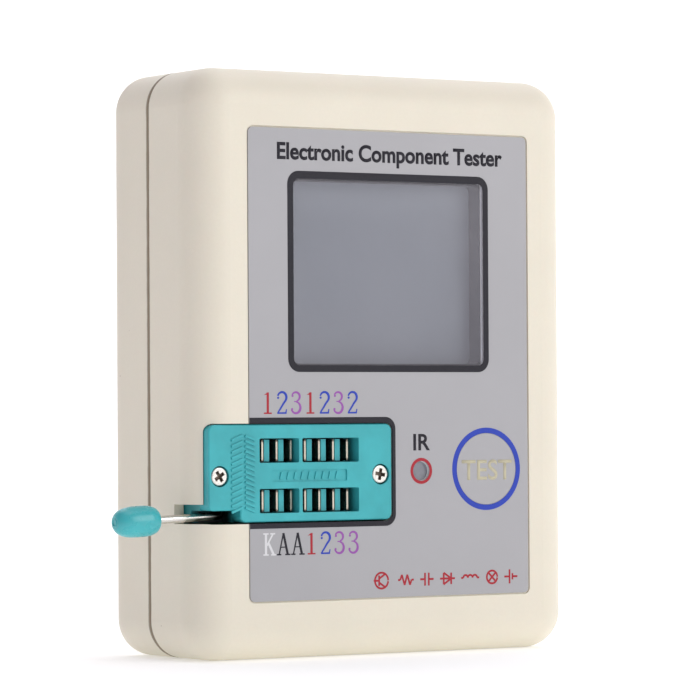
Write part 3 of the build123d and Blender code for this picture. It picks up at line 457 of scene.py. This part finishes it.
def pouch_silver():
    """Crinkled laminate of a pouch cell."""
    s = Shader("pouch_silver", metallic=0.85)
    crinkle = s.noise(3.0, 5.0, 0.6)
    s.colour(s.mix(s.spread(crinkle), (0.50, 0.51, 0.53), (0.70, 0.71, 0.73)))
    s.rough(s.spread(crinkle, 0.28, 0.45))
    s.bump(crinkle, 0.15, 0.5)
    return s.material


def clear_moulding(name, base, alpha):
    s = Shader(name)
    s.colour(s.mix(s.spread(s.noise(1.5)), shade(base, 0.95), base))
    s.rough(s.spread(s.noise(0.8), 0.12, 0.24))
    s.put(Alpha=alpha, IOR=1.49)
    s.bump(s.noise(0.9, 2.0), 0.01, 0.3)
    return s.material


def ink(name, base, depth=0.2):
    """Screen-printed ink with uneven cover."""
    s = Shader(name)
    cover = s.remap(s.noise(0.16, 3.0), 0.30, 0.62)
    thin = tuple(0.96 * c + 0.04 * g for c, g in zip(base, LABEL_GREY))
    colour = s.mix(cover, thin, base)
    colour = s.mix(s.math("MULTIPLY", s.spread(s.noise(6.0)), depth), colour, shade(base, 0.85))
    s.colour(colour)
    s.rough(s.spread(s.noise(0.5), 0.36, 0.50))
    s.put(Specular_IOR_Level=0.25)
    s.bump(s.noise(0.12, 2.0), 0.004, 0.5)
    return s.material


def slot_materials():
    """One finish for each material slot of the record."""
    return {
        "case_cream": case_cream(),
        "label_print": label_print(),
        "clear_film": clear_film(),
        "ir_filter": ir_filter(),
        "foam_black": foam_black(),
        "lcd_glass": lcd_glass(),
        "frame_white": moulded("frame_white", (0.70, 0.70, 0.67), 0.38, 0.50).material,
        "flex_amber": flex_amber(),
        "socket_teal": socket_teal(),
        "knob_teal": knob_teal(),
        "wire_steel": lever_wire(),
        "screw_nickel": metal("screw_nickel", (0.86, 0.84, 0.80), 0.20, 0.34, grain_mm=0.20).material,
        "contact_tin": contact_tin(),
        "board_green": board_green(),
        "switch_black": moulded("switch_black", (0.022, 0.022, 0.025), 0.40, 0.55).material,
        "button_white": moulded("button_white", (0.66, 0.66, 0.63), 0.36, 0.50).material,
        "can_steel": metal("can_steel", (0.62, 0.62, 0.61), 0.26, 0.40, (1.0, 1.0, 0.2), 0.20).material,
        "chip_black": moulded("chip_black", (0.018, 0.018, 0.020), 0.48, 0.62, 0.15, 0.02).material,
        "ferrite": moulded("ferrite", (0.060, 0.060, 0.066), 0.55, 0.70, 0.20, 0.03).material,
        "aluminium_can": metal(
            "aluminium_can", (0.80, 0.80, 0.81), 0.24, 0.36, (1.0, 0.2, 1.0), 0.20
        ).material,
        "chip_ceramic": moulded("chip_ceramic", (0.42, 0.29, 0.16), 0.42, 0.56, 0.20, 0.01).material,
        "pipe_clear": clear_moulding("pipe_clear", (0.80, 0.82, 0.82), 0.45),
        "led_white": moulded("led_white", (0.80, 0.76, 0.55), 0.30, 0.42).material,
        "pouch_silver": pouch_silver(),
        "tape_black": foam_black(),
        "plug_white": moulded("plug_white", (0.74, 0.72, 0.64), 0.34, 0.46).material,
        "wire_red": moulded("wire_red", (0.48, 0.018, 0.014), 0.36, 0.48, 0.5, 0.01).material,
        "wire_black": moulded("wire_black", (0.016, 0.016, 0.017), 0.36, 0.48, 0.5, 0.01).material,
    }


def dress_nodes(materials):
    """Gives each CAD node the finish of its slot, or its own."""
    own = {"zif_cover_screws": cover_screw()}
    for part in frame["record"]["subparts"]:
        name = part["node"]
        for slot in NODES[name].material_slots:
            slot.material = own.get(name, materials[part["material_slot"]])


# ======================= flat print built as thin solids =======================

def arc(cx, cz, radius, start, end, count):
    """Points on an arc, angles in degrees."""
    steps = [math.radians(start + (end - start) * i / count) for i in range(count + 1)]
    return [(cx + radius * math.cos(a), cz + radius * math.sin(a)) for a in steps]


def circle(cx, cz, radius, count):
    step = 360 / count
    return arc(cx, cz, radius, 0, 360 - step, count - 1)


def rounded_box(x0, x1, z0, z1, radius, count=8):
    return (
        arc(x1 - radius, z1 - radius, radius, 0, 90, count)
        + arc(x0 + radius, z1 - radius, radius, 90, 180, count)
        + arc(x0 + radius, z0 + radius, radius, 180, 270, count)
        + arc(x1 - radius, z0 + radius, radius, 270, 360, count)
    )


def link_mesh(name, bm, material, body):
    """Makes an object of a mesh built in millimetres, and rides it on a body."""
    bmesh.ops.scale(bm, vec=(MM, MM, MM), verts=bm.verts)
    bmesh.ops.recalc_face_normals(bm, faces=bm.faces)
    mesh = bpy.data.meshes.new(name)
    bm.to_mesh(mesh)
    bm.free()
    piece = bpy.data.objects.new(name, mesh)
    bpy.context.scene.collection.objects.link(piece)
    mesh.materials.append(material)
    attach(piece, body)
    return piece


def add_ring(bm, outer, inner, y_back, thickness):
    """Flat band between two outlines with the same number of points."""
    layers = []
    for y in (y_back, y_back - thickness):
        layers.append([[bm.verts.new((x, y, z)) for x, z in line] for line in (outer, inner)])
    count = len(outer)
    (back_out, back_in), (front_out, front_in) = layers
    for i in range(count):
        j = (i + 1) % count
        bm.faces.new((front_out[i], front_out[j], front_in[j], front_in[i]))
        bm.faces.new((back_out[i], back_in[i], back_in[j], back_out[j]))
        bm.faces.new((front_out[i], back_out[i], back_out[j], front_out[j]))
        bm.faces.new((front_in[i], front_in[j], back_in[j], back_in[i]))


def add_slab(bm, outline, y_back, thickness):
    """Flat prism from one closed outline."""
    back = [bm.verts.new((x, y_back, z)) for x, z in outline]
    front = [bm.verts.new((x, y_back - thickness, z)) for x, z in outline]
    bm.faces.new(back)
    bm.faces.new(list(reversed(front)))
    for i in range(len(outline)):
        j = (i + 1) % len(outline)
        bm.faces.new((back[j], back[i], front[i], front[j]))


def ribbon(path, widths):
    """Outline of a stroke that follows the path with these widths."""
    left, right = [], []
    for i, (x, z) in enumerate(path):
        ax, az = path[max(i - 1, 0)]
        bx, bz = path[min(i + 1, len(path) - 1)]
        run = Vector((bx - ax, bz - az)).normalized()
        half = widths[i] / 2
        left.append((x - run.y * half, z + run.x * half))
        right.append((x + run.y * half, z - run.x * half))
    return left + right[::-1]


def taper(path, start, middle, end):
    """Widths that swell from start to middle and back to end."""
    last = len(path) - 1
    widths = []
    for i in range(len(path)):
        t = i / last
        swell = math.sin(math.pi * t)
        edge = start + (end - start) * t
        widths.append(edge + (middle - edge) * swell)
    return widths


def union(outlines, y_back, thickness):
    """One closed solid from overlapping flat outlines."""
    parts = []
    for outline in outlines:
        bm = bmesh.new()
        add_slab(bm, outline, y_back, thickness)
        bmesh.ops.recalc_face_normals(bm, faces=bm.faces)
        mesh = bpy.data.meshes.new("stroke")
        bm.to_mesh(mesh)
        bm.free()
        part = bpy.data.objects.new("stroke", mesh)
        bpy.context.scene.collection.objects.link(part)
        parts.append(part)
    first = parts[0]
    for other in parts[1:]:
        cut = first.modifiers.new("union", "BOOLEAN")
        cut.operation = "UNION"
        cut.solver = "EXACT"
        cut.object = other
    graph = bpy.context.evaluated_depsgraph_get()
    joined = bmesh.new()
    joined.from_object(first, graph)
    for part in parts:
        mesh = part.data
        bpy.data.objects.remove(part)
        bpy.data.meshes.remove(mesh)
    return joined


# ---- thin serif figures, drawn in a box 1 wide and 2 high ----

SERIF = 0.13


def serif(x, z, half):
    low, high = z - SERIF / 2, z + SERIF / 2
    return [(x - half, low), (x + half, low), (x + half, high), (x - half, high)]


def stem(x, z0, z1, width):
    return [(x - width / 2, z0), (x + width / 2, z0), (x + width / 2, z1), (x - width / 2, z1)]


def line(a, b, width):
    return ribbon([a, b], [width, width])


def figure_one():
    flag = [(0.14, 1.70), (0.56, 1.96), (0.56, 1.74), (0.42, 1.72)]
    return [stem(0.5, 0.03, 1.92, 0.21), flag, serif(0.5, SERIF / 2, 0.36)]


def figure_two():
    bowl = arc(0.5, 1.48, 0.40, 165, -38, 16)
    bowl = [(x, 1.48 + (z - 1.48) * 1.18) for x, z in bowl]
    sweep_down = [(0.62, 0.92), (0.42, 0.58), (0.20, 0.24), (0.10, 0.06)]
    path = bowl + sweep_down
    foot = [(0.06, 0.0), (0.90, 0.0), (0.95, 0.42), (0.86, 0.42), (0.80, 0.16), (0.06, 0.14)]
    drop = arc(0.145, 1.44, 0.10, 0, 330, 10)
    return [ribbon(path, taper(path, 0.13, 0.22, 0.13)), foot, drop]


def figure_three():
    top = arc(0.46, 1.54, 0.36, 158, -78, 14)
    top = [(x, 1.54 + (z - 1.54) * 1.12) for x, z in top]
    low = arc(0.46, 0.56, 0.42, 84, -160, 16)
    low = [(x, 0.56 + (z - 0.56) * 1.22) for x, z in low]
    bar = line((0.30, 1.10), (0.58, 1.10), 0.10)
    drops = [arc(0.16, 1.60, 0.10, 0, 330, 10), arc(0.12, 0.42, 0.10, 0, 330, 10)]
    strokes = [ribbon(top, taper(top, 0.13, 0.20, 0.13)), ribbon(low, taper(low, 0.13, 0.22, 0.13))]
    return [*strokes, bar, *drops]


def letter_k():
    arms = [line((0.30, 0.86), (0.82, 1.92), 0.13), line((0.44, 1.14), (0.88, 0.06), 0.19)]
    serifs = [serif(0.24, SERIF / 2, 0.22), serif(0.24, 2.0 - SERIF / 2, 0.22)]
    serifs += [serif(0.86, SERIF / 2, 0.20), serif(0.80, 2.0 - SERIF / 2, 0.20)]
    return [stem(0.24, 0.04, 1.96, 0.18), *arms, *serifs]


def letter_a():
    legs = [line((0.14, 0.04), (0.50, 1.96), 0.11), line((0.50, 1.98), (0.86, 0.04), 0.19)]
    bar = line((0.24, 0.72), (0.76, 0.72), 0.10)
    return [*legs, bar, serif(0.14, SERIF / 2, 0.18), serif(0.86, SERIF / 2, 0.22)]


FIGURES = {"1": figure_one, "2": figure_two, "3": figure_three, "K": letter_k, "A": letter_a}


def placed(outlines, x, z, width, height):
    """Figure outlines moved from their 1 by 2 box to a place on the label."""
    return [[(x + px * width, z + pz * height / 2) for px, pz in outline] for outline in outlines]


def merge(target, source):
    mesh = bpy.data.meshes.new("merge")
    source.to_mesh(mesh)
    target.from_mesh(mesh)
    bpy.data.meshes.remove(mesh)
    source.free()


def pin_marks(inks):
    """Two rows of pin figures, one piece for each ink colour."""
    colours = {"1": "red", "2": "blue", "3": "purple", "K": "white", "A": "dark"}
    first_x = -23.2
    rows = [("1231232", MID_Z - 7.62, 3.38, 0.0), ("KAA1233", MID_Z - 29.02, 3.40, 0.05)]
    by_colour = {}
    for marks, z, height, shift in rows:
        for i, figure in enumerate(marks):
            is_letter = figure in "KA"
            width = LETTER_W if is_letter else FIGURE_W
            x = first_x + PIN_PITCH * i + shift - (0.05 if is_letter else 0.0)
            outlines = placed(FIGURES[figure](), x, z, width, height)
            by_colour.setdefault(colours[figure], []).append(outlines)
    for colour, figures in by_colour.items():
        bm = bmesh.new()
        for outlines in figures:
            merge(bm, union(outlines, INK_Y, INK))
        link_mesh(f"pin_marks_{colour}", bm, inks[colour], "case")


def add_text(name, words, material, body, centre_x, z0, width, height, bold):
    """Flat lettering fitted to a box on the label."""
    curve = bpy.data.curves.new(name, "FONT")
    curve.body = words
    curve.size = 1.0
    curve.offset = bold
    curve.extrude = 0.0
    curve.resolution_u = 6
    holder = bpy.data.objects.new(name, curve)
    bpy.context.scene.collection.objects.link(holder)
    graph = bpy.context.evaluated_depsgraph_get()
    flat = bmesh.new()
    flat.from_mesh(bpy.data.meshes.new_from_object(holder.evaluated_get(graph)))
    bpy.data.objects.remove(holder)
    bmesh.ops.remove_doubles(flat, verts=flat.verts, dist=0.0005)
    xs = [v.co.x for v in flat.verts]
    ys = [v.co.y for v in flat.verts]
    scale_x = width / (max(xs) - min(xs))
    scale_z = height / (max(ys) - min(ys))
    for v in flat.verts:
        x = centre_x + (v.co.x - (max(xs) + min(xs)) / 2) * scale_x
        z = z0 + (v.co.y - min(ys)) * scale_z
        v.co = Vector((x, INK_Y, z))
    grown = bmesh.ops.extrude_face_region(flat, geom=flat.faces[:])
    for item in grown["geom"]:
        if isinstance(item, bmesh.types.BMVert):
            item.co.y -= INK
    return link_mesh(name, flat, material, body)


def half_frame(left, right, low, high, radius):
    """Open outline that runs round the right end of a rectangle."""
    lower = arc(right - radius, low + radius, radius, 270, 360, 10)
    upper = arc(right - radius, high - radius, radius, 0, 90, 10)
    return [(left, low)] + lower + upper + [(left, high)]


def borders(inks):
    """Black bands round the display window and the socket opening."""
    bm = bmesh.new()
    outer = rounded_box(-18.55, 18.50, MID_Z - 1.27, MID_Z + 29.33, 2.0)
    inner = rounded_box(WINDOW_LOW.x, WINDOW_HIGH.x, WINDOW_LOW.z, WINDOW_HIGH.z, 1.0)
    add_ring(bm, outer, inner, INK_Y, INK)
    link_mesh("display_border", bm, inks["dark"], "case")

    bm = bmesh.new()
    left = LABEL_LOW.x
    lap = 0.03
    outer = half_frame(left, OPENING_RIGHT + 0.52, OPENING_LOW - 0.75, OPENING_HIGH + 0.88, 1.85)
    inner = half_frame(left, OPENING_RIGHT, OPENING_LOW, OPENING_HIGH, OPENING_CORNER)
    add_slab(bm, outer + inner[::-1], INK_Y, INK)
    # a band in the dark ink colour covers the cut edge of the label
    low, high, right = OPENING_LOW + lap, OPENING_HIGH - lap, OPENING_RIGHT - lap
    edge = half_frame(left, right, low, high, OPENING_CORNER - lap)
    add_slab(bm, inner + edge[::-1], LABEL_BACK_Y, LABEL_BACK_Y - INK_Y + INK)
    link_mesh("socket_border", bm, inks["dark"], "case")


def rings(inks):
    """Printed rings round the key and the infrared hole."""
    for name, x, z, r_out, r_in, colour, count in (
        ("start_ring", KEY_X, KEY_Z, 6.45, 5.61, "blue", 96),
        ("ir_ring", IR_X, IR_Z, 2.02, 1.54, "red", 48),
    ):
        bm = bmesh.new()
        add_ring(bm, circle(x, z, r_out, count), circle(x, z, r_in, count), INK_Y, INK)
        link_mesh(name, bm, inks[colour], "case")


def ir_liner():
    """Pale sleeve between the label and the infrared lens, with painted light."""
    gap = 0.005
    outer = circle(IR_X, IR_Z, 1.76, 48)
    inner = circle(IR_X, IR_Z, 1.51, 48)
    bm = bmesh.new()
    add_ring(bm, outer, inner, IR_LOW.y - gap, IR_LOW.y - LABEL_BACK_Y - 2 * gap)
    # painted light: the sleeve is near white, paler than the case, standing in for the lit wall of the
    # hole
    sleeve = moulded("sleeve_painted_light", (0.86, 0.85, 0.84), 0.30, 0.42)
    sleeve.put(Subsurface_Weight=0.2, Subsurface_Scale=0.001)
    link_mesh("ir_hole_sleeve", bm, sleeve.material, "case")


# Circuit symbols in millimetres from their left end: the wires as paths, then the arcs, each as its
# centre, radius and sweep in degrees.
NEARLY_ROUND = 354
RESISTOR = [[(0, 0), (0.4, 0), (0.7, 0.8), (1.2, -0.8), (1.7, 0.8), (2.2, -0.8), (2.5, 0), (2.9, 0)]], []
CAPACITOR = [
    [(0, 0), (0.9, 0)],
    [(0.9, -1.0), (0.9, 1.0)],
    [(1.6, -1.0), (1.6, 1.0)],
    [(1.6, 0), (2.5, 0)],
], []
DIODE = [
    [(0, 0), (2.8, 0)],
    [(0.7, -0.9), (0.7, 0.9), (2.1, 0), (0.7, -0.9)],
    [(2.1, -0.9), (2.1, 0.9)],
], []
COIL = [
    [(0, 0), (0.4, 0)],
    [(3.0, 0), (3.4, 0)],
], [(0.83, 0.43, 180), (1.7, 0.43, 180), (2.57, 0.43, 180)]
TRANSISTOR = [
    [(-0.1, 0), (0.9, 0)],
    [(0.9, -0.8), (0.9, 0.8)],
    [(0.9, 0.3), (2.0, 1.0)],
    [(0.9, -0.3), (2.0, -1.0)],
], [(1.35, 1.22, NEARLY_ROUND)]
LAMP = [
    [(0.55, -0.7), (1.95, 0.7)],
    [(0.55, 0.7), (1.95, -0.7)],
], [(1.25, 1.0, NEARLY_ROUND)]
CELL = [
    [(0, 0), (1.0, 0)],
    [(1.0, -1.1), (1.0, 1.1)],
    [(1.55, -0.5), (1.55, 0.5)],
    [(1.55, 0), (2.5, 0)],
], []


def symbol_row(inks):
    """A row of plain circuit symbols in fine red lines."""
    width = 0.31
    z = MID_Z - 33.35
    spots = (
        (-3.2, TRANSISTOR), (1.2, RESISTOR), (5.3, CAPACITOR), (9.0, DIODE),
        (13.0, COIL), (17.6, LAMP), (21.2, CELL),
    )
    strokes = []
    for x, (wires, arcs) in spots:
        for wire in wires:
            for (ax, az), (bx, bz) in zip(wire, wire[1:]):
                strokes.append(line((x + ax, z + az), (x + bx, z + bz), width))
        for cx, radius, sweep in arcs:
            path = arc(x + cx, z, radius, sweep, 0, max(10, sweep // 12))
            strokes.append(ribbon(path, [width] * len(path)))
    bm = bmesh.new()
    merge(bm, union(strokes, INK_Y, INK))
    link_mesh("symbol_row", bm, inks["red"], "case")


def label_graphics():
    """Everything printed on the label and the key."""
    inks = {
        "dark": ink("ink_dark", (0.013, 0.012, 0.020)),
        "red": ink("ink_red", (0.42, 0.020, 0.035)),
        "blue": ink("ink_blue", (0.025, 0.060, 0.47)),
        "purple": ink("ink_purple", (0.33, 0.10, 0.42)),
        "white": ink("ink_white", (0.74, 0.75, 0.77)),
        "yellow": ink("ink_yellow", (0.575, 0.540, 0.385)),
    }
    borders(inks)
    rings(inks)
    ir_liner()
    pin_marks(inks)
    symbol_row(inks)
    add_text(
        "title", "Electronic Component Tester", inks["dark"], "case",
        centre_x=0.45, z0=MID_Z + 30.20, width=41.6, height=3.45, bold=0.029,
    )
    add_text(
        "ir_mark", "IR", inks["dark"], "case",
        centre_x=5.73, z0=MID_Z - 13.39, width=3.1, height=2.54, bold=0.02,
    )
    add_text(
        "key_mark", "TEST", inks["yellow"], "start_button",
        centre_x=KEY_X + 0.10, z0=MID_Z - 18.15, width=9.5, height=3.2, bold=0.014,
    )


# ======================= moulded marks on the socket cover =======================

def cover_ribs(material):
    """Two columns of slanted moulded ribs beside the lead windows, and short ribs in the pocket."""
    bm = bmesh.new()
    rib_t = 0.24
    y = COVER_LOW.y + 0.02
    low = COVER_LOW.z + 1.9
    high = COVER_HIGH.z - 2.0
    for column_x, reach, lean, count in ((-27.65, 0.98, 0.38, 13), (-25.35, 0.88, -0.32, 15)):
        for i in range(count):
            z = low + (high - low) * i / (count - 1)
            rib = line((column_x - reach, z - lean), (column_x + reach, z + lean), 0.36)
            add_slab(bm, rib, y, rib_t)
    pocket_floor_y = y + 0.25
    short_count = 9
    short_step = 1.25
    short_lean = 0.14
    short_reach = 0.55
    for i in range(short_count):
        x = POCKET_X + short_step * (i - (short_count - 1) / 2)
        bottom = (x - short_lean, POCKET_Z - short_reach)
        top = (x + short_lean, POCKET_Z + short_reach)
        add_slab(bm, line(bottom, top, 0.34), pocket_floor_y, rib_t)
    link_mesh("zif_cover_ribs", bm, material, "case")


def gate_mark(material):
    """Raised ring that the mould's gate leaves on the end of the knob."""
    low, high = (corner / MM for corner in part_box("zif_lever_knob"))
    centre = Vector((low.x + 0.03, (low.y + high.y) / 2, (low.z + high.z) / 2 - 0.15))
    ring_r = 0.56
    bead_r = 0.13
    bead_h = 0.12
    turns = 32
    sides = 8
    bm = bmesh.new()
    rows = []
    for i in range(turns):
        a = 2 * math.pi * i / turns
        out = Vector((0, math.cos(a), math.sin(a)))
        row = []
        for j in range(sides):
            b = 2 * math.pi * j / sides
            rise = Vector((-bead_h * math.sin(b), 0, 0))
            row.append(bm.verts.new(centre + out * (ring_r + bead_r * math.cos(b)) + rise))
        rows.append(row)
    for i in range(turns):
        near, far = rows[i], rows[(i + 1) % turns]
        for j in range(sides):
            k = (j + 1) % sides
            bm.faces.new((near[j], near[k], far[k], far[j]))
    link_mesh("zif_knob_gate_mark", bm, material, "lever")


# ======================= stage =======================

def camera_matrix(yaw, pitch, roll, place):
    """Camera placed by its bearing, tilt and roll in degrees."""
    yaw, pitch, roll = (math.radians(a) for a in (yaw, pitch, roll))
    view = Vector((math.sin(yaw) * math.cos(pitch), math.cos(yaw) * math.cos(pitch), -math.sin(pitch)))
    right = Vector((math.cos(yaw), -math.sin(yaw), 0))
    up = right.cross(view)
    tilted_right = right * math.cos(roll) + up * math.sin(roll)
    tilted_up = up * math.cos(roll) - right * math.sin(roll)
    turn = Matrix((tilted_right, tilted_up, -view)).transposed()
    return Matrix.Translation(place) @ turn.to_4x4()


# bearing, tilt and roll in degrees, place and lens in millimetres
CAMERA_YAW = 32.83
CAMERA_PITCH = -0.937
CAMERA_ROLL = -0.339
CAMERA_PLACE = Vector((-334.10, FRONT_Y - 506.34, MID_Z - 7.75))
CAMERA_LENS = 202.34


def add_camera():
    data = bpy.data.cameras.new("camera")
    data.sensor_width = 36.0
    data.lens = CAMERA_LENS
    data.clip_start = 0.01
    data.clip_end = 20.0
    camera = bpy.data.objects.new("camera", data)
    bpy.context.scene.collection.objects.link(camera)
    camera.matrix_world = camera_matrix(CAMERA_YAW, CAMERA_PITCH, CAMERA_ROLL, CAMERA_PLACE * MM)
    bpy.context.scene.camera = camera


def backdrop_white():
    s = Shader("backdrop_white", roughness=0.9)
    s.colour(s.mix(s.spread(s.noise(300.0)), (0.92, 0.92, 0.92), (0.95, 0.95, 0.95)))
    s.put(Specular_IOR_Level=0.1, Emission_Color=(1.0, 1.0, 1.0), Emission_Strength=0.28)
    return s.material


def add_backdrop():
    """Pale floor that sweeps up into a pale wall behind the object."""
    half = 3.0
    front = -3.0
    reach = 1.3
    radius = 0.5
    top = 2.6
    # a hair under the object, so that the two don't share a face
    drop = 0.00002
    bend_steps = 16
    profile = [(front, 0.0), (-1.0, 0.0), (0.0, 0.0), (reach - radius, 0.0)]
    for i in range(1, bend_steps + 1):
        a = math.radians(90 * i / bend_steps)
        profile.append((reach - radius + radius * math.sin(a), radius - radius * math.cos(a)))
    profile.append((reach, top))
    bm = bmesh.new()
    rows = [[bm.verts.new((x, y, z - drop)) for x in (-half, 0.0, half)] for y, z in profile]
    for a, b in zip(rows, rows[1:]):
        for i in range(2):
            bm.faces.new((a[i], a[i + 1], b[i + 1], b[i]))
    mesh = bpy.data.meshes.new("backdrop")
    bm.to_mesh(mesh)
    bm.free()
    for face in mesh.polygons:
        face.use_smooth = True
    mesh.materials.append(backdrop_white())
    sweep = bpy.data.objects.new("backdrop", mesh)
    sweep.rotation_euler.z = -math.radians(CAMERA_YAW)
    bpy.context.scene.collection.objects.link(sweep)


def add_area(name, place, target, size, power, colour=(1.0, 1.0, 1.0)):
    data = bpy.data.lights.new(name, "AREA")
    data.shape = "RECTANGLE"
    data.size, data.size_y = size
    data.energy = power
    data.color = colour
    lamp = bpy.data.objects.new(name, data)
    aim = (Vector(target) - Vector(place)).to_track_quat("-Z", "Y")
    lamp.matrix_world = Matrix.Translation(place) @ aim.to_matrix().to_4x4()
    bpy.context.scene.collection.objects.link(lamp)


def add_light():
    """Soft sky, a key lamp from the front right, one overhead and a wash on the wall. Places in metres."""
    world = bpy.data.worlds.new("world")
    bpy.context.scene.world = world
    world.use_nodes = True
    tree = world.node_tree
    soft = tree.nodes["Background"]
    soft.inputs["Color"].default_value = (1.0, 0.936, 1.02, 1.0)
    soft.inputs["Strength"].default_value = 0.425
    # plain white where the camera looks past the backdrop
    plain = tree.nodes.new("ShaderNodeBackground")
    plain.inputs["Color"].default_value = (0.96, 0.96, 0.96, 1.0)
    path = tree.nodes.new("ShaderNodeLightPath")
    choice = tree.nodes.new("ShaderNodeMixShader")
    tree.links.new(path.outputs["Is Camera Ray"], choice.inputs[0])
    tree.links.new(soft.outputs[0], choice.inputs[1])
    tree.links.new(plain.outputs[0], choice.inputs[2])
    tree.links.new(choice.outputs[0], tree.nodes["World Output"].inputs["Surface"])
    middle = (0.0, 0.0, 0.045)
    add_area("key", (0.62, -1.15, 0.58), middle, (0.9, 0.9), 6.6, (1.0, 1.0, 0.948))
    add_area("top", (0.1, -0.25, 1.3), middle, (0.7, 0.7), 1.8, (1.0, 0.98, 0.97))
    add_area("wash", (0.5, 0.7, 1.4), (0.7, 1.1, 0.3), (1.6, 1.6), 8.0)
    bpy.context.scene.view_settings.view_transform = "Standard"


materials = slot_materials()
dress_nodes(materials)
label_graphics()
cover_ribs(materials["socket_teal"])
gate_mark(materials["knob_teal"])
add_camera()
add_backdrop()
add_light()
